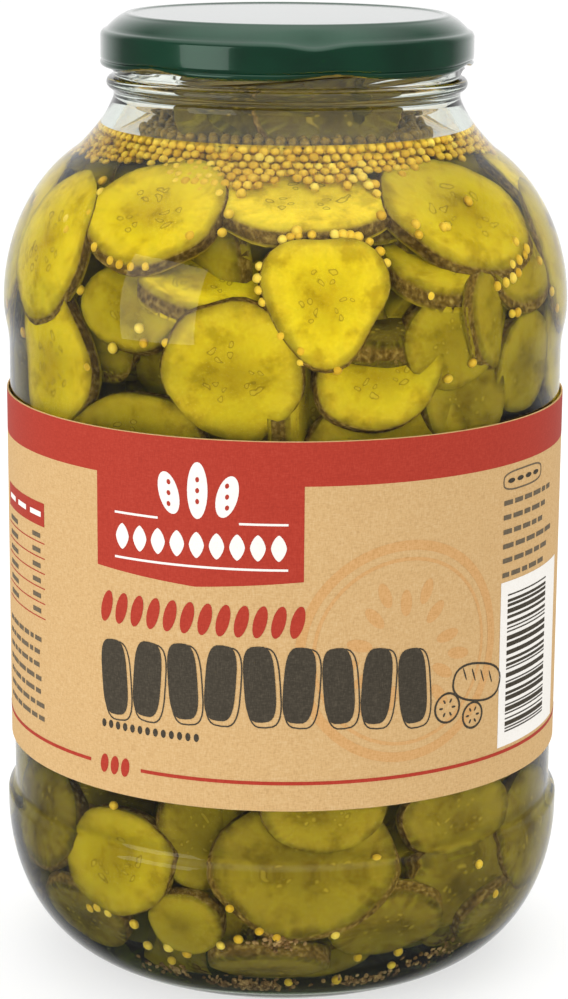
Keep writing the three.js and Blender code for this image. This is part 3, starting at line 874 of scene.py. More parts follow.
def lay_slice(spec, index):
    """Copies the pattern, shapes the copy and sets it in place."""
    mesh = slice_pattern.data.copy()
    cut_places = []
    carry = slice_frame(spec)
    gap = press_gap(spec, index)
    top = spec["top"] * MM if "top" in spec else UNDER_BRINE
    own = random.Random(index)
    ripple = [(n, own.uniform(0.004, 0.02), own.uniform(0, 6.3)) for n in (2, 4, 5, 7)]
    cup, saddle, turn = own.uniform(-0.5, 0.9), own.uniform(-0.9, 0.9), own.uniform(0, 3.1)
    for vertex in mesh.vertices:
        x, y, z = vertex.co
        out = math.hypot(x, y)
        angle = math.atan2(y, x)
        on_rim = out > 0.99
        reach = rim_reach(spec, angle)
        reach += sum(size * math.cos(n * angle + phase) for n, size, phase in ripple)
        wide = out * (reach + (SKIN_BULGE * (1 - (2 * z) ** 2) if on_rim else 0))
        level = z * (CUT_EDGE if on_rim and abs(z) > 0.45 else 1)
        warp = cup * (0.5 - out * out) + saddle * out * out * math.cos(2 * (angle - turn))
        local = Vector((
            spec["w"] / 2 * wide * math.cos(angle),
            spec["h"] / 2 * wide * math.sin(angle),
            (level - 0.5) * SLICE_THICKNESS + warp,
        ))
        cut_places.append(local + Vector((0, 0, APART * index)))
        vertex.co = pressed(carry @ local, gap, top)
    write_attribute(mesh, "cut_mm", cut_places)
    # The tone carries the slice's painted light and shade to its material
    write_attribute(mesh, "tone", [spec["tone"]] * len(cut_places))
    piece = bpy.data.objects.new("slice", mesh)
    bpy.context.collection.objects.link(piece)
    return piece


def joined(pieces, name):
    """Joins pieces into one object with one mesh."""
    bpy.ops.object.select_all(action="DESELECT")
    for piece in pieces:
        piece.select_set(True)
    bpy.context.view_layer.objects.active = pieces[0]
    bpy.ops.object.join()
    return named(name)


slices = [lay_slice(spec, number) for number, spec in enumerate(all_slices)]
cucumber_slices = joined(slices, "cucumber_slices")
bpy.data.objects.remove(slice_pattern)
only(cucumber_slices)
bpy.ops.object.shade_smooth_by_angle(angle=math.radians(50))
print("faces of the slices:", len(cucumber_slices.data.polygons))

# %% [markdown]
# ## Pickled cucumber
#
# Cucumber flesh turns translucent in the brine, so light goes into it and comes out again nearby:
# that is subsurface scattering, with a reach of a few millimetres. Towards the rim the flesh gets
# denser and greener, the seeds lie in three groups round the middle, and the skin is a thin dark
# olive band with paler warts. All of it is drawn from each slice's own coordinates, in millimetres
# for the grain and in shares of its radius for the seeds, so that the pattern stays on the slice.

# %% Where a point lies on its slice, and noises in grains per millimetre
FLESH_GRAIN = 0.7
WART = 1.3
# Each noise as its scale, its detail and its roughness
NOISES = {
    "wobble": (0.22, 2, 0.5), "grain": (1 / FLESH_GRAIN, 3, 0.5), "cloud": (0.17, 5, 0.62),
    "warts": (1 / WART, 3, 0.5),
}
flesh, tree = material("pickled cucumber, cut and steeped in brine")
place_mm = add(tree, "Attribute", attribute_name="cut_mm").outputs["Vector"]
across = add(tree, "Attribute", attribute_name="across").outputs["Vector"]
unit = add(tree, "SeparateXYZ", {0: across}).outputs
parts = {"x": unit[0], "y": unit[1]}
for name in ("tone", "skin"):
    parts[name] = add(tree, "Attribute", attribute_name=name).outputs["Fac"]
for name, (scale, detail, roughness) in NOISES.items():
    parts[name] = add(tree, "TexNoise", {
        "Vector": place_mm, "Scale": scale, "Detail": detail, "Roughness": roughness})
print("parts to draw with:", list(parts))

# %% Work out the seeds and how strongly each layer of colour shows
SEEDS_ROUND = 9
SEED_RING_INNER = 0.20
SEED_RING_STEP = 0.15
SEED_HALF = 0.29
SEED_LENGTH = 1.7
GROUP_WIDTH = -0.35
# Each step has a name, what is done, and the numbers and earlier parts that it is done to
STEPS = (
    ("x2", "POWER", "x", 2), ("y2", "POWER", "y", 2),
    ("out", "ADD", "x2", "y2"), ("out", "SQRT", "out"),
    ("drift", "MULTIPLY_ADD", "wobble", 0.22, -0.11), ("soft out", "ADD", "out", "drift"),
    ("bearing", "ARCTAN2", "y", "x"), ("bearing", "DIVIDE", "bearing", 2 * math.pi / SEEDS_ROUND),
    ("bearing", "MULTIPLY_ADD", "wobble", 1.6, "bearing"),
    # Rings and bearings are cut into cells, with one seed in the middle of each
    ("along", "ADD", "bearing", 20), ("along", "FRACT", "along"), ("along", "SUBTRACT", "along", 0.5),
    ("ring", "SUBTRACT", "soft out", SEED_RING_INNER), ("ring", "DIVIDE", "ring", SEED_RING_STEP),
    ("beside", "ADD", "ring", 4), ("beside", "FRACT", "beside"), ("beside", "SUBTRACT", "beside", 0.5),
    ("along", "MULTIPLY", "along", SEED_LENGTH),
    ("along", "POWER", "along", 2), ("beside", "POWER", "beside", 2),
    ("from seed", "ADD", "along", "beside"), ("from seed", "SQRT", "from seed"),
    # Seeds show in two rings and in three groups
    ("first ring", "GREATER_THAN", "ring", 0), ("last ring", "LESS_THAN", "ring", 2),
    ("shown", "MULTIPLY", "first ring", "last ring"),
    ("group", "MULTIPLY", "bearing", 2 * math.pi / 3), ("group", "COSINE", "group"),
    ("group", "GREATER_THAN", "group", GROUP_WIDTH), ("shown", "MULTIPLY", "shown", "group"),
    ("body", "LESS_THAN", "from seed", SEED_HALF), ("body", "MULTIPLY", "body", "shown"),
    ("outline", "SUBTRACT", "from seed", SEED_HALF), ("outline", "ABSOLUTE", "outline"),
    ("outline", "MULTIPLY_ADD", "outline", -7, 0.7), ("outline", "MULTIPLY", "outline", "shown"),
    # Shares of the layers, which the mixing clamps: below 0 nothing shows, and above 1 all does
    ("body", "MULTIPLY", "body", 0.3),
    # The painted light shows where the tone is above 1, and the painted shade where it is below 0
    ("palest", "SUBTRACT", "tone", 1), ("darkest", "MULTIPLY", "tone", -1),
    ("patch", "MULTIPLY_ADD", "cloud", 0.55, -0.231), ("speck", "MULTIPLY", "grain", 0.5),
    ("own veins", "MULTIPLY_ADD", "tone", 40, "out"), ("on skin", "POWER", "skin", 1.4),
)
for name, operation, *numbers in STEPS:
    numbers = [parts.get(number, number) for number in numbers]
    parts[name] = add(tree, "Math", dict(enumerate(numbers)), operation=operation)
print("steps of arithmetic:", len(STEPS))

# %% Veins that fan out from the middle, different on every slice
VEINS = 9
ray = add(tree, "VectorMath", {0: across}, operation="NORMALIZE")
ray = add(tree, "VectorMath", {0: ray, 1: (VEINS, VEINS, 0)}, operation="MULTIPLY")
ray = add(tree, "VectorMath", {0: ray, 1: add(tree, "CombineXYZ", {2: parts["own veins"]})})
veins = add(tree, "TexNoise", {"Vector": ray, "Scale": 1, "Detail": 3})
veined = add(tree, "Math", {0: veins, 1: 1.2, 2: -0.54}, operation="MULTIPLY_ADD")
parts["veined"] = add(tree, "Math", {0: veined, 1: parts["out"]}, operation="MULTIPLY")
print("nodes so far:", len(tree.nodes))

# %% Colours of the flesh from the middle to the rim, of its clouds and of the skin's warts
# The bright flesh is the lit copy and the olive flesh the shaded copy: the tone mixes them as painted
# light and shade
RAMPS = {
    "bright": ("soft out", (
        (0.0, "#cdb01c"), (0.3, "#dcc21f"), (0.62, "#f0d626"), (0.88, "#ecd032"), (1.0, "#b39c2c"))),
    "olive": ("soft out", ((0.0, "#645426"), (0.45, "#73612b"), (0.85, "#7a672f"), (1.0, "#584a22"))),
    "clouds": ("cloud", ((0.36, "#d2ccb8"), (0.47, "#f2eee4"), (0.58, "#ffffff"))),
    "peel": ("warts", ((0.34, "#523c18"), (0.5, "#6c5223"), (0.64, "#8a6f37"), (0.76, "#a48a4b"))),
}
for name, (source, stops) in RAMPS.items():
    parts[name] = add(tree, "ValToRGB", {0: parts[source]}, stops)
parts["whole"] = 1.0
# What is laid over the olive flesh, one layer after another: its share, its colour and how
# The first three layers are painted light and shade: the lit flesh, a paler yellow where most lit and
# the dark brown of deep shade
LAYERS = (
    ("tone", "bright", "MIX"), ("palest", "#ffe24c", "MIX"), ("darkest", "#31280f", "MIX"),
    ("patch", "#8d8016", "MIX"), ("whole", "clouds", "MULTIPLY"), ("speck", "#d6c24a", "MULTIPLY"),
    ("veined", "#a89a20", "MIX"), ("body", "#c2a73a", "MIX"), ("outline", "#6f5a10", "MIX"),
    ("on skin", "peel", "MIX"),
)
colour = parts["olive"].outputs["Color"]
for share, over, how in LAYERS:
    over = linear(over) if over.startswith("#") else parts[over]
    laid = add(tree, "Mix", {0: parts[share], 6: colour, 7: over}, data_type="RGBA", blend_type=how)
    colour = laid.outputs[2]
print("layers of colour:", len(LAYERS))

# %% Flesh material
# Wet flesh in brine of nearly its own index: no gloss, soft edges of light, and a fine grain
dents = add(tree, "Bump", {"Height": parts["grain"], "Strength": 0.25, "Distance": 0.3 * MM})
pickled = add(tree, "BsdfPrincipled", {
    "Base Color": colour, "Roughness": 0.5, "Specular IOR Level": 0.0, "Normal": dents,
    "Subsurface Weight": 0.3, "Subsurface Radius": (1.0, 0.85, 0.2), "Subsurface Scale": 3 * MM,
})
add(tree, "OutputMaterial", {"Surface": pickled})
cucumber_slices.data.materials.clear()
cucumber_slices.data.materials.append(flesh)
print("nodes in the flesh:", len(tree.nodes))

# %% [markdown]
# ## The middle of the heap
#
# Nobody sees more than two or three slices deep, but light must not shine right through the jar. A
# turned core with a lumpy side stands for the slices in the middle. Its dark olive is painted shade,
# the colour that flesh has in the shade deep in the heap behind that much brine.

# %% Core of the heap
CORE_DEPTH = 21 * MM
CORE_BOTTOM = 12 * MM
CORE_STEP = 8 * MM
CORE_STEPS = 22
CORE_LUMPS = 7
LUMP_DEPTH = 0.05
LUMP_CLIMB = 190
FLESH_PATCH = 16 * MM


def core_profile():
    """From the bottom of the heap up to just under the floating seeds."""
    levels = [CORE_BOTTOM + step * CORE_STEP for step in range(CORE_STEPS)]
    return [(0, levels[0])] + [(inner_radius(z) - CORE_DEPTH, z) for z in levels] + [(0, levels[-1])]


heap_core = turned("heap_core", core_profile(), 64)
for vertex in heap_core.data.vertices:
    azimuth = angle_round(vertex.co)
    wave = math.sin(math.radians(azimuth * CORE_LUMPS) + vertex.co.z * LUMP_CLIMB)
    vertex.co.x *= 1 + LUMP_DEPTH * wave
    vertex.co.y *= 1 + LUMP_DEPTH * wave

# Flesh deep in the heap: dull, without gloss, in olive patches, painted dark for its shade
deep_flesh, tree = material("cucumber flesh deep in the brine")
patches = add(tree, "TexNoise", {"Vector": measured(tree, FLESH_PATCH), "Scale": 1, "Detail": 3})
patchy = add(tree, "ValToRGB", {0: patches}, ((0.35, "#4a421a"), (0.55, "#6f6526"), (0.7, "#8d8230")))
deep = add(tree, "BsdfPrincipled", {"Base Color": patchy, "Roughness": 0.8, "Specular IOR Level": 0.0})
add(tree, "OutputMaterial", {"Surface": deep})
heap_core.data.materials.append(deep_flesh)
print("core faces:", len(heap_core.data.polygons))

# %% [markdown]
# ## Mustard seeds
#
# Yellow mustard seeds are 2 to 2.5 mm across and almost round. Air clings to them, so most of them
# float up and pack under the shoulder in rows, like bubbles. The rest lodge where a slice meets the
# glass. One low round seed is modelled and copied, each copy a little larger, smaller or squashed.

# %% Model one seed, and a helper that copies it
SEED_RADIUS = 1.15 * MM
SEED_GAP = 0.25 * MM
SEED_PITCH = 2.32 * MM
bpy.ops.object.select_all(action="DESELECT")
bpy.ops.mesh.primitive_ico_sphere_add(subdivisions=2, radius=SEED_RADIUS)
seed_pattern = named("seed_pattern")
bpy.ops.object.shade_smooth()


def scattered(pattern, places, name):
    """Copies a pattern to every place, a matrix with a tone, and joins the copies."""
    copies = []
    for matrix, shade in places:
        mesh = pattern.data.copy()
        mesh.transform(matrix)
        write_attribute(mesh, "tone", [shade] * len(mesh.vertices))
        piece = bpy.data.objects.new("copy", mesh)
        bpy.context.collection.objects.link(piece)
        copies.append(piece)
    bpy.data.objects.remove(pattern)
    return joined(copies, name)


def seed_place(place):
    """A seed's matrix and tone at a place, with its own size, squash and turn."""
    size = draw.uniform(0.86, 1.08)
    squash = Matrix.Diagonal((size, size, size * draw.uniform(0.88, 1), 1))
    turn = draw.uniform(0, 6.28)
    axis = Vector((draw.random(), draw.random(), draw.random() + 0.1))
    return Matrix.Translation(place) @ Matrix.Rotation(turn, 4, axis) @ squash, draw.uniform(0.3, 1)


def on_wall(azimuth, height, sunk=0.0):
    """The middle of a seed that touches the glass, or lies a little behind it."""
    reach = reach_within(height, SEED_GAP + SEED_RADIUS + sunk)
    return Vector((reach * math.sin(azimuth), -reach * math.cos(azimuth), height))


# %% [markdown]
# ## Floating seeds
#
# The seeds are packed like oranges: each row is shifted by half a seed and lies against the slope
# of the shoulder, in three layers. The rows start just under the surface of the brine and go down
# to a ragged edge, which is given at a few angles round the jar.

# %% Pack the seeds under the shoulder
SEED_TOP = BRINE_LEVEL - 1.2 * MM
LOWEST_FLOATER = 183 * MM
LAYERS_OF_SEEDS = 3
LAYER_DEPTH = 1.9 * MM
LAYER_DROP = 0.8 * MM
ROW_NESTING = 0.88
MISSING = 0.02
# Lower edge of the floating seeds, as angle round the jar and height in millimetres
SEED_EDGE = (
    (-70, 187), (-58, 186.5), (-47, 188), (-37, 189.5), (-30, 185), (-9, 184.5), (0, 187.5),
    (12, 185.5), (28, 187), (38, 188), (50, 190), (70, 188), (105, 185), (140, 189), (175, 185.5),
    (210, 188.5), (250, 185), (290, 187),
)


def seed_edge(azimuth):
    """Height of the ragged lower edge of the floating seeds."""
    angle = (math.degrees(azimuth) + 70) % 360 - 70
    for (from_az, from_z), (to_az, to_z) in zip(SEED_EDGE, SEED_EDGE[1:]):
        if from_az <= angle <= to_az:
            return (from_z + (to_z - from_z) * (angle - from_az) / (to_az - from_az)) * MM
    return SEED_EDGE[-1][1] * MM


def floating_seeds():
    """Close rows that follow the slope of the shoulder, layer behind layer."""
    for layer in range(LAYERS_OF_SEEDS):
        height = SEED_TOP - layer * LAYER_DROP
        row = layer
        while height > LOWEST_FLOATER:
            radius = reach_within(height, SEED_GAP + SEED_RADIUS + layer * LAYER_DEPTH)
            count = int(2 * math.pi * radius / SEED_PITCH)
            for k in range(count):
                azimuth = 2 * math.pi * (k + row % 2 / 2 + draw.uniform(-0.1, 0.1)) / count
                level = height + draw.uniform(-0.25, 0.25) * MM
                edge = seed_edge(azimuth) + draw.uniform(-1.2, 0.6) * MM
                if level > edge and draw.random() > MISSING:
                    yield on_wall(azimuth, level, layer * LAYER_DEPTH + draw.uniform(0, 0.3) * MM)
            height -= SEED_PITCH * ROW_NESTING / math.hypot(1, steepness(height))
            row += 1


# %% Seeds lodged against the slices, and loose ones
# Seeds lodged against the rim of a slice, as angles round it
RIM_SEEDS = {
    "centre": (128, 121, 114, 101, 78, 70, 63, 56, 46, 35, 25, 156, 165, 174, 184, 219, 247, 280),
    "leftBright": (228, 252, 262, 272, 284),
    "topWide": (205, 262, 330),
    "leftTall": (60, 48),
    "rightBright": (160, 150, 290, 300, 318),
    "rightUnder": (292, 302, 312, 322),
    "rightOlive": (118,),
    "leftOlive": (255, 170),
    "bigRound": (160, 20),
    "footLeft": (95, 250, 262),
    "footPale": (240, 268),
    "footBig": (240, 252, 290, 215),
    "footMiddle": (250, 290),
}
# Seeds that lie loose against the glass at the front, as angle round the jar and height
LOOSE_SEEDS = (
    (-57, 176), (-55, 174), (-50, 178), (-21, 176), (-14, 177), (-30, 157), (-29, 154), (-44, 147),
    (-68, 151), (30, 178), (30, 176), (37, 177), (38, 177), (48, 181), (58, 172), (60, 169), (66, 167),
    (52, 158), (54, 158), (70, 160), (73, 156), (35, 146), (41, 149), (20, 39), (45, 33), (-33, 21),
    (-31, 16), (-26, 13), (-13, 19), (-9, 21), (14, 9.6), (2, 9.4), (27, 12), (-45, 22), (52, 24),
)
LOOSE_AROUND = 46
BESIDE_RIM = 0.06


def lodged_seeds():
    """Seeds against the rims, loose ones at the front, and a few more round the rest of the jar."""
    for name, angles in RIM_SEEDS.items():
        spec = FRONT_SLICES[name]
        carry = slice_frame(spec)
        for angle in angles:
            turned_back = math.radians(angle - spec.get("spin", 0))
            reach = rim_reach(spec, turned_back) + BESIDE_RIM
            across_rim = spec["w"] / 2 * reach * math.cos(turned_back)
            up_rim = spec["h"] / 2 * reach * math.sin(turned_back)
            yield pressed(carry @ Vector((across_rim, up_rim, -0.5)), SEED_GAP + SEED_RADIUS)
    for azimuth, height in LOOSE_SEEDS:
        yield on_wall(math.radians(azimuth), height * MM)
    for _ in range(LOOSE_AROUND):
        height = draw.choice((draw.uniform(140, 180), draw.uniform(12, 48)))
        yield on_wall(math.radians(draw.uniform(78, 282)), height * MM)


# %% [markdown]
# ## A raft of seeds
#
# The surface of the brine in the neck is closed by seeds that float side by side. Through the neck
# they lie in the lid's shade, which is painted into them: their colour is far darker than the others'.

# %% The raft, and all the seeds together
RAFT_RADIUS = 33.8 * MM
RAFT_PITCH = SEED_PITCH * 1.04
RAFT_ROW = SEED_PITCH * 0.9
RAFT_TONE = 0.16


def raft_places():
    """Seeds that float side by side on the brine inside the neck, half out of it."""
    rows = int(RAFT_RADIUS / RAFT_ROW)
    for row in range(-rows, rows + 1):
        half = math.sqrt(RAFT_RADIUS ** 2 - (row * RAFT_ROW) ** 2)
        count = int(2 * half / RAFT_PITCH)
        for k in range(count):
            along = (k + 0.5 - count / 2) * RAFT_PITCH + draw.uniform(-0.3, 0.3) * MM
            back = row * RAFT_ROW + draw.uniform(-0.2, 0.2) * MM
            yield Vector((along, back, BRINE_LEVEL + draw.uniform(-0.3, 0.4) * MM))


seed_places = [seed_place(place) for source in (floating_seeds(), lodged_seeds()) for place in source]
# The raft's seeds get the lowest tones, a dark brown that is painted shade of the lid
seed_places += [(seed_place(place)[0], draw.uniform(0, RAFT_TONE)) for place in raft_places()]
mustard_seeds = scattered(seed_pattern, seed_places, "mustard_seeds")
print("mustard seeds:", len(seed_places), "faces:", len(mustard_seeds.data.polygons))

# %% [markdown]
# ## Seed coat
#
# A steeped seed has a thin pale coat over yellow, with hardly any gloss left under the brine. Every
# seed has one tone of its own, from amber to pale yellow, and a mottle as large as half a seed keeps
# them from looking like beads. The seeds of the raft are dark brown, which is painted shade.

# %% Material of the seeds
MOTTLE = 0.9 * MM
seed_coat, tree = material("yellow mustard seed, steeped")
seed_tone = add(tree, "Attribute", attribute_name="tone").outputs["Fac"]
# The two lowest stops are the raft's painted shade; above them are the seeds' own amber and yellows
tinted = add(tree, "ValToRGB", {0: seed_tone}, (
    (0.0, "#2e2410"), (RAFT_TONE, "#4c3d1a"), (0.3, "#d6a62c"), (0.55, "#e3b738"), (0.85, "#eec84a"),
    (1.0, "#f5d866")))
mottle = add(tree, "TexNoise", {"Vector": measured(tree, MOTTLE), "Scale": 1, "Detail": 2})
mottle = add(tree, "Math", {0: mottle, 1: 0.4}, operation="MULTIPLY")
mottled = add(tree, "Mix", {0: mottle, 6: tinted, 7: linear("#c9a024")}, data_type="RGBA")
coat = add(tree, "BsdfPrincipled", {
    "Base Color": mottled.outputs[2], "Roughness": 0.4, "Specular IOR Level": 0.1,
    "Subsurface Weight": 0.15, "Subsurface Radius": (1.0, 0.85, 0.3), "Subsurface Scale": 0.6 * MM,
})
add(tree, "OutputMaterial", {"Surface": coat})
mustard_seeds.data.materials.append(seed_coat)
print("nodes in the seed coat:", len(tree.nodes))

# %% [markdown]
# ## Spice at the foot
#
# What is heavier than brine sinks: crushed spice has settled on the curve of the heel in brown
# drifts. Each bit is an ico sphere pulled out of round.

# %% Drifts of spice
BIT_SIZE = 0.62 * MM
# Each drift as its angle, its height, how far it spreads in degrees and in millimetres, and its bits
SPICE_DRIFTS = (
    (-8, 8.6, 11, 0.9, 150), (0, 20.5, 5, 0.8, 46), (22, 9.2, 9, 0.7, 70), (38, 12.5, 9, 1.0, 46),
    (-30, 10.5, 8, 0.9, 40), (110, 9, 20, 1.0, 90), (165, 9, 22, 1.1, 110), (240, 9.4, 22, 1.0, 90),
)
bpy.ops.object.select_all(action="DESELECT")
bpy.ops.mesh.primitive_ico_sphere_add(subdivisions=1, radius=1)
bit_pattern = named("bit_pattern")


def spice_places():
    """Flat angular bits in drifts on the inside of the glass."""
    for azimuth, height, wide, tall, count in SPICE_DRIFTS:
        for _ in range(count):
            angle = math.radians(draw.gauss(azimuth, wide / 2))
            level = max(FLOOR + 1.2 * MM, (height + draw.gauss(0, tall)) * MM)
            reach = reach_within(level, draw.uniform(0.7, 1.6) * MM)
            place = Vector((reach * math.sin(angle), -reach * math.cos(angle), level))
            size = Matrix.Diagonal([BIT_SIZE * draw.uniform(0.4, 1.1) for _ in range(3)] + [1])
            spin = Matrix.Rotation(draw.uniform(0, 6.28), 4, Vector((draw.random(), draw.random(), 0.4)))
            yield Matrix.Translation(place) @ spin @ size, draw.random()


spice_bits = scattered(bit_pattern, list(spice_places()), "spice_bits")
print("spice faces:", len(spice_bits.data.polygons))

# %% Material of the spice
CRUMB = 0.4 * MM
# Crushed dry and soaked: rough broken faces in warm browns, without gloss under the brine
spice, tree = material("crushed spice, sunk in brine")
bit_tone = add(tree, "Attribute", attribute_name="tone").outputs["Fac"]
browns = add(tree, "ValToRGB", {0: bit_tone}, ((0.1, "#6a4c28"), (0.6, "#99744a"), (1.0, "#bb9868")))
crumb = add(tree, "TexNoise", {"Vector": measured(tree, CRUMB), "Scale": 1, "Detail": 2})
broken = add(tree, "Bump", {"Height": crumb, "Strength": 0.5, "Distance": 0.1 * MM})
crushed = add(tree, "BsdfPrincipled", {
    "Base Color": browns, "Roughness": 0.7, "Specular IOR Level": 0.0, "Normal": broken})
add(tree, "OutputMaterial", {"Surface": crushed})
spice_bits.data.materials.append(spice)
print("nodes in the spice:", len(tree.nodes))

# %% [markdown]
# ## Brine
#
# The brine is a solid like any other, turned from the inside of the glass and made half a
# millimetre larger than the room it fills. The overlap with the wall is what keeps a false film of
# air from showing between them. Its surface climbs the glass a little, as a wetting liquid does.
# Its colour is an absorption: yellow where it is thin, and dark olive where it is deep. It needs two
# materials, because only its open surface has a gloss that can be seen.

# %% Turn the brine
INTO_WALL = 0.5 * MM
MENISCUS = 0.6 * MM
MENISCUS_STEP = 0.45 * MM
MENISCUS_FADE = 0.75


def brine_profile():
    """The inner wall pushed out into the glass, then the surface of the brine from wall to middle."""
    wetted = [p for p in INSIDE if p[1] < BRINE_LEVEL - 0.3 * MM]
    pushed = [(0, wetted[0][1] - INTO_WALL)]
    for before, here, after in zip(wetted, wetted[1:], wetted[2:]):
        slope = Vector((after[0] - before[0], after[1] - before[1])).normalized()
        pushed.append((here[0] + slope.y * INTO_WALL, here[1] - slope.x * INTO_WALL))
    edge = inner_radius(BRINE_LEVEL)
    climbed = BRINE_LEVEL + MENISCUS
    rim = [(edge + INTO_WALL, BRINE_LEVEL), (inner_radius(climbed) + INTO_WALL, climbed)]
    climb = [
        (edge - step * MENISCUS_STEP, BRINE_LEVEL + MENISCUS * math.exp(-step * MENISCUS_FADE))
        for step in range(1, 8)]
    return pushed + rim + climb + [(20 * MM, BRINE_LEVEL), (0, BRINE_LEVEL)]


brine = turned("brine", brine_profile(), 128)
BRINE = dict(ior=1.34, tint="#e4d664", density=55, lamp_tint="#fbf9ee")
SURFACE_GLOSS = "#6e685c"
pickle_brine = clear_body("spiced vinegar brine", gloss=SURFACE_GLOSS, **BRINE)
film_of_brine = clear_body("spiced vinegar brine against the glass", gloss=WET_GLOSS, **BRINE)
brine.data.materials.append(pickle_brine)
brine.data.materials.append(film_of_brine)
for face in brine.data.polygons:
    face.material_index = 0 if face.normal.z > 0.2 and face.center.z > BRINE_LEVEL - MM else 1
print("brine faces:", len(brine.data.polygons))

# %% [markdown]
# ## The label
#
# The label is one strip of kraft paper, wrapped round the recess with a narrow gap at the back. It
# is easiest to draw flat, so the paper and its print are laid out on a plane, in millimetres along
# and up the strip. Cutting them every few millimetres lets them bend, and rolling them up is then a
# single rule: distance along the strip becomes angle round the jar.

# %% Helpers that cut and roll flat work
PAPER_RADIUS = 64.5 * MM
PAPER_THICKNESS = 0.35 * MM
LABEL_BOTTOM = 52.2
LABEL_TOP = 134.8
HALF_WRAP = 173
LABEL_HALF = HALF_WRAP / 360 * 2 * math.pi * 64.5
CUT_STEP = 3
INK_THICKNESS = 0.02 * MM


def rolled(piece, thickness):
    """Cuts flat work into narrow strips, rolls it round the jar and gives it a thickness."""
    only(piece)
    bpy.ops.object.mode_set(mode="EDIT")
    for step in range(int(-LABEL_HALF / CUT_STEP), int(LABEL_HALF / CUT_STEP) + 1):
        bpy.ops.mesh.select_all(action="SELECT")
        bpy.ops.mesh.bisect(plane_co=(step * CUT_STEP * MM, 0, 0), plane_no=(1, 0, 0))
    bpy.ops.object.mode_set(mode="OBJECT")
    for vertex in piece.data.vertices:
        angle = vertex.co.x / PAPER_RADIUS
        radius = PAPER_RADIUS - vertex.co.y
        vertex.co = (radius * math.sin(angle), -radius * math.cos(angle), vertex.co.z)
    sheet = piece.modifiers.new("thickness", "SOLIDIFY")
    sheet.thickness = thickness
    sheet.offset = -1
    bpy.ops.object.modifier_apply(modifier=sheet.name)
    bpy.ops.object.shade_smooth_by_angle(angle=math.radians(30))
    return piece


def flat_shape(outline, ink, layer=1, border=0):
    """A flat shape of ink from its outline in millimetres; a border leaves its middle open."""
    bpy.ops.object.select_all(action="DESELECT")
    bpy.ops.mesh.primitive_circle_add(vertices=len(outline), radius=MM, fill_type="NGON")
    shape = named("flat_shape")
    for vertex, (x, z) in zip(shape.data.vertices, outline):
        vertex.co = (x * MM, -layer * INK_THICKNESS * 1.5, z * MM)
    if border:
        bpy.ops.object.mode_set(mode="EDIT")
        bpy.ops.mesh.select_all(action="SELECT")
        bpy.ops.mesh.inset(thickness=border * MM)
        bpy.ops.mesh.delete(type="FACE")
        bpy.ops.object.mode_set(mode="OBJECT")
    shape.data.materials.append(ink)
    return shape


def box_outline(left, right, bottom, top):
    """The four corners of an upright rectangle."""
    return [(left, bottom), (right, bottom), (right, top), (left, top)]


def oval_outline(x, z, width, height, tilt=0.0, points=24, corners=1.0):
    """An oval, or with corners below 1 a softer box and above 1 a lozenge, tilted by some degrees."""
    turn = math.radians(tilt)
    outline = []
    for k in range(points):
        angle = 2 * math.pi * k / points
        across = math.copysign(abs(math.cos(angle)) ** corners, math.cos(angle)) * width / 2
        along = math.copysign(abs(math.sin(angle)) ** corners, math.sin(angle)) * height / 2
        outline.append((
            x + across * math.cos(turn) - along * math.sin(turn),
            z + across * math.sin(turn) + along * math.cos(turn)))
    return outline


# %% [markdown]
# ## Kraft paper and its inks
#
# Unbleached kraft is brown with long pale and dark fibres, pressed nearly flat, so it looks warm and
# dull with a fine streak both ways. The inks are thin, so some of the fibre shows through them, and
# they dry a little smoother than the paper. One function makes every ink, with the same fibre as
# the paper.

# %% Paper and inks
# Real fibres are 2 to 3 mm long and 0.03 mm wide; these are drawn shorter and coarser, to show
FIBRE_LONG = 1.0 * MM
FIBRE_SHORT = 0.24 * MM
PAPER_CLOUD = 11 * MM


def fibrous(name, colour, strength, dark, light, roughness=0.85):
    """Paper, or ink on paper, with the kraft's fibre in it."""
    made, tree = material(name)
    lying = measured(tree, FIBRE_LONG, FIBRE_LONG, FIBRE_SHORT)
    standing = measured(tree, FIBRE_SHORT, FIBRE_SHORT, FIBRE_LONG)
    first, second = [
        add(tree, "TexNoise", {"Vector": place, "Scale": 1, "Detail": 3}) for place in (lying, standing)]
    fibre = add(tree, "Math", {0: first, 1: second}, operation="ADD")
    fibre = add(tree, "Math", {0: fibre, 1: 2.0}, operation="DIVIDE")
    cloud = add(tree, "TexNoise", {"Vector": measured(tree, PAPER_CLOUD), "Scale": 1, "Detail": 2})
    cloud = add(tree, "Math", {0: cloud, 1: 0.12}, operation="MULTIPLY")
    streaks = add(tree, "ValToRGB", {0: fibre}, ((0.36, dark), (0.5, colour), (0.66, light)))
    tint = linear(colour)
    for share, over in ((strength, streaks), (cloud, linear(dark))):
        tint = add(tree, "Mix", {0: share, 6: tint, 7: over}, data_type="RGBA").outputs[2]
    relief = add(tree, "Bump", {"Height": fibre, "Strength": 0.3, "Distance": 0.05 * MM})
    shader = add(tree, "BsdfPrincipled", {
        "Base Color": tint, "Roughness": roughness, "Specular IOR Level": 0.25, "Normal": relief})
    add(tree, "OutputMaterial", {"Surface": shader})
    return made


kraft = fibrous("unbleached kraft paper, calendered", "#d0aa74", 0.45, "#b08a5a", "#dfc498")
red_ink = fibrous("red offset ink on kraft", "#b23522", 0.35, "#94281b", "#c5503e", 0.6)
dark_ink = fibrous("dark brown offset ink on kraft", "#463f33", 0.4, "#302a20", "#6b6150", 0.6)
white_ink = fibrous("opaque white ink on kraft", "#f3efe8", 0.2, "#d8d0c2", "#ffffff", 0.6)
orange_ink = fibrous("thin orange ink on kraft", "#d0a066", 0.6, "#ba8a50", "#ddb27c", 0.75)
grey_ink = fibrous("fine dark print on kraft", "#6d604c", 0.4, "#54493a", "#8c7e66", 0.7)

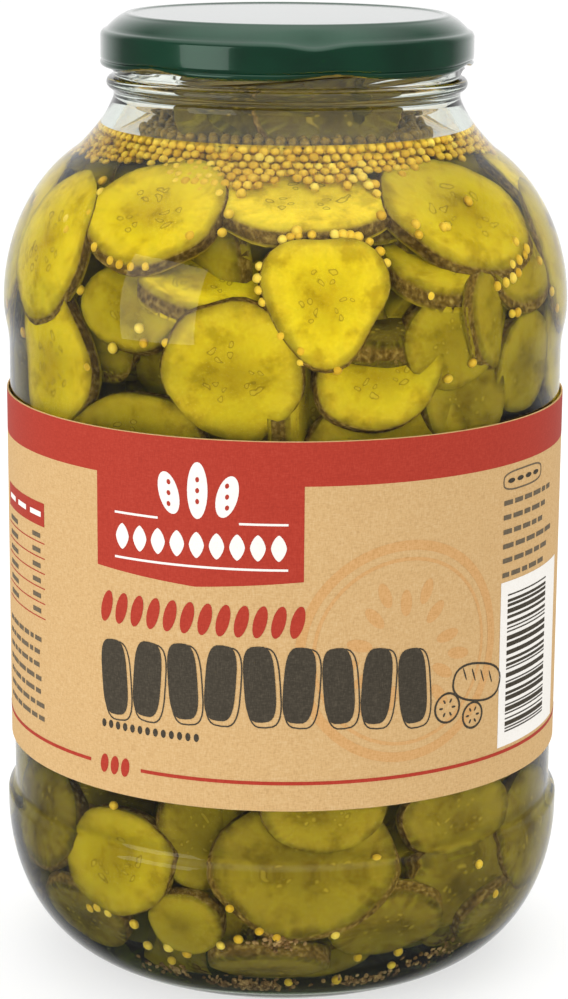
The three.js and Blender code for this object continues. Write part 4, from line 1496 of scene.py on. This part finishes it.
flat_paper = flat_shape(box_outline(-LABEL_HALF, LABEL_HALF, LABEL_BOTTOM, LABEL_TOP), kraft, layer=0)
label_paper = rolled(flat_paper, PAPER_THICKNESS)
label_paper.name = label_paper.data.name = "label_paper"
print("label width in mm:", round(2 * LABEL_HALF, 1))

# %% [markdown]
# ## The print
#
# The print is plain fields and simple shapes: a red band that runs all round, a red panel under it
# with a shallow point, a pale ring pattern in a shade of the paper, and rows of seed, lozenge and
# cucumber shapes. Each is a flat shape of ink, in one of three layers so that none fights with the
# one under it. They are joined, cut and rolled exactly as the paper was, a hair outside it, so that
# nothing slides when the jar turns.

# %% Bands, panel and rules
BAND_BOTTOM = 125
PANEL_LEFT = -44
PANEL_RIGHT = 4.4
PANEL_BOTTOM = 104
PANEL_POINT = (-19.3, 102.1)
LINE_LEVEL = 58.6


def upright(left, right, bottom, top, ink, layer=2):
    """One upright rectangle of ink."""
    return flat_shape(box_outline(left, right, bottom, top), ink, layer)


def rule(left, right, level, half, ink):
    """A level line of ink, which is twice half thick."""
    return upright(left, right, level - half, level + half, ink)


def band_and_panel():
    """The red band, the panel below it and the thin rule near the foot of the label."""
    yield upright(-LABEL_HALF, LABEL_HALF, BAND_BOTTOM, LABEL_TOP - 0.15, red_ink, 1)
    yield flat_shape([
        (PANEL_LEFT, BAND_BOTTOM), (PANEL_LEFT, PANEL_BOTTOM), PANEL_POINT, (PANEL_RIGHT, PANEL_BOTTOM),
        (PANEL_RIGHT, BAND_BOTTOM)], red_ink)
    for left, right in ((-LABEL_HALF, -46.5), (-32.5, LABEL_HALF)):
        yield rule(left, right, LINE_LEVEL, 0.4, red_ink)
    for k in range(3):
        yield flat_shape(oval_outline(-42.4 + 2.9 * k, LINE_LEVEL, 2.2, 4.4, -8), red_ink, 2)


# %% Pattern of a cut slice
RING_PLACES = ((27.5, 87), (128, 88))
RING_RADIUS = 25


def ring_pattern(x, z, radius):
    """Pale rings with three groups of seeds, as in a cut cucumber."""
    for width, points, border in ((2 * radius, 60, 2.2), (1.7 * radius, 48, 0.8)):
        yield flat_shape(oval_outline(x, z, width, width, 0, points), orange_ink, 1, border)
    for group in range(3):
        for k in range(-2, 3):
            bearing = 90 + 120 * group + 21 * k
            reach = radius * (0.56 if k % 2 else 0.44)
            seed_x = x + reach * math.cos(math.radians(bearing))
            seed_z = z + reach * math.sin(math.radians(bearing))
            seed = oval_outline(seed_x, seed_z, 0.11 * radius, 0.24 * radius, bearing - 90, 16)
            yield flat_shape(seed, orange_ink)


# %% White work on the panel, and the rows under it
def panel_motif():
    """Three standing ovals, a row of lozenges and thin rules."""
    ovals = ((-25.4, 122.4, 9.5, 16), (-18.8, 123.4, 12.5, 0), (-12.2, 122.4, 9.5, -16))
    for x, z, height, lean in ovals:
        yield flat_shape(oval_outline(x, z, 4.6, height, lean, 28), white_ink, 2)
        for k in (-1, 0, 1):
            yield flat_shape(oval_outline(x, z + 2.4 * k, 0.9, 1.2, lean, 10), red_ink, 3)
    for left, right, level in ((-39, -28, 116.6), (-9.6, 1, 116.6), (-39, 1, 106.6)):
        yield rule(left, right, level, 0.25, white_ink)
    for k in range(9):
        yield flat_shape(oval_outline(-37 + 4.5 * k, 111.4, 3.4, 5.8, 0, 20, 1.35), white_ink, 2)


def big_rows():
    """A row of red seeds, a row of bold dark cucumbers with an offset outline, and a fine dark row."""
    for k in range(12):
        yield flat_shape(oval_outline(-41.4 + 4.05 * k, 95, 2.9, 7.4, -14, 20), red_ink, 2)
    for k in range(9):
        x = -39.4 + 8.6 * k
        z = 81 - 0.12 * (k - 4) ** 2
        lean = -4 if k % 2 else 4
        yield flat_shape(oval_outline(x, z, 6.9, 17.2, lean, 28, 0.6), dark_ink, 3)
        offset = oval_outline(x + 0.75, z - 0.75, 7.9, 18.3, lean, 28, 0.6)
        yield flat_shape(offset, dark_ink, 2, border=0.32)
    for k in range(13):
        yield flat_shape(oval_outline(-42.4 + 1.95 * k, 68, 1.2, 1.9, points=12), dark_ink, 2)


# %% Small drawing
def cucumber_drawing():
    """A small line drawing: a cucumber lying behind a round slice."""
    yield flat_shape(oval_outline(47.5, 77, 15.5, 9, -12, 30, 0.8), dark_ink, 2, border=0.5)
    for k in range(4):
        yield flat_shape(oval_outline(43.4 + 2.7 * k, 79.6 - 0.7 * k, 0.4, 3.4, 20, 8), dark_ink, 2)
    for x, z, size in ((38.6, 72.6, 7.2), (46, 69.6, 6.4)):
        yield flat_shape(oval_outline(x, z, size, size), dark_ink, 2, border=0.5)
        for k in range(6):
            angle = math.radians(60 * k)
            seed_x = x + 0.24 * size * math.cos(angle)
            seed_z = z + 0.24 * size * math.sin(angle)
            yield flat_shape(oval_outline(seed_x, seed_z, 0.5, 1.1, 60 * k - 90, 8), dark_ink, 2)


# %% Small print and the striped field
def dashes(left, right, level, half, shortest, longest):
    """One row of dashes of random length."""
    while left < right - 2:
        length = min(right - left, draw.uniform(shortest, longest))
        yield rule(left, left + length, level, half, grey_ink)
        left += length + 0.9


def fine_print():
    """Rows of small dashes at both ends, a pill outline and a striped white field."""
    yield flat_shape(oval_outline(63, 121.2, 17, 4.6, 0, 28, 0.6), grey_ink, 2, border=0.35)
    for k in range(4):
        yield flat_shape(oval_outline(57.6 + 3.6 * k, 121.2, 2.7, 1.1, points=10), dark_ink, 2)
    for row in range(6):
        edge = 55
        while edge < 77 - 3 * (row % 3):
            length = draw.uniform(1.8, 4.4)
            yield upright(edge, edge + length, 115.8 - 3.3 * row, 116.9 - 3.3 * row, grey_ink)
            edge += length + 0.9
    yield upright(54.6, 85, 59.8, 98.2, white_ink)
    level = 63
    while level < 95:
        thickness = draw.choice((0.35, 0.35, 0.7, 1.05))
        yield upright(57.2, 76.5, level, level + thickness, dark_ink, 3)
        level += thickness + draw.choice((0.35, 0.5, 0.8))
    yield upright(-88, -63, 108.6, 114, red_ink)
    for k in range(3):
        yield upright(-86 + 8 * k, -80.5 + 8 * k, 110.7, 111.9, white_ink, 3)
    for k in range(6):
        drop = 3.5 * k
        yield upright(-88, -63, 104.6 - drop, 104.85 - drop, red_ink)
        yield upright(-86, -79, 105.7 - drop, 106.8 - drop, grey_ink)
        yield upright(-69, -65, 105.7 - drop, 106.8 - drop, grey_ink)
    for left, right, top, rows in ((-88, -64, 82, 7), (-150, -100, 116, 15)):
        for row in range(rows):
            yield from dashes(left, right, top - 3.1 * row, 0.55, 1.6, 5.2)


# %% Lay out the print, then roll it on
groups = [band_and_panel()]
groups += [ring_pattern(x, z, RING_RADIUS) for x, z in RING_PLACES]
groups += [panel_motif(), big_rows(), cucumber_drawing(), fine_print()]
shapes = [shape for group in groups for shape in group]
label_print = rolled(joined(shapes, "label_print"), INK_THICKNESS)
print("printed shapes:", len(shapes), "faces:", len(label_print.data.polygons))

# %% [markdown]
# ## Pieces on the one body
#
# Nothing on a jar that is shut can move by itself, so every piece rides on the one body. Where a
# piece stands for a node of the imported model, that node's own part is hidden.

# %% Bodies, nodes and finishes
PIECES = (
    (glass_jar, "glass", ("glass_jar",)),
    (lid, "green_enamel", ("lid",)),
    (label_paper, "kraft_paper", ("label",)),
    (label_print, "kraft_paper", ()),
    (cucumber_slices, "pickles", ("pickle_heap",)),
    (heap_core, "pickles", ()),
    (mustard_seeds, "pickles", ()),
    (spice_bits, "pickles", ()),
    (brine, "pickles", ()),
)
for piece, finish, nodes in PIECES:
    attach(piece, "root")
    if nodes:
        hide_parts(*nodes)
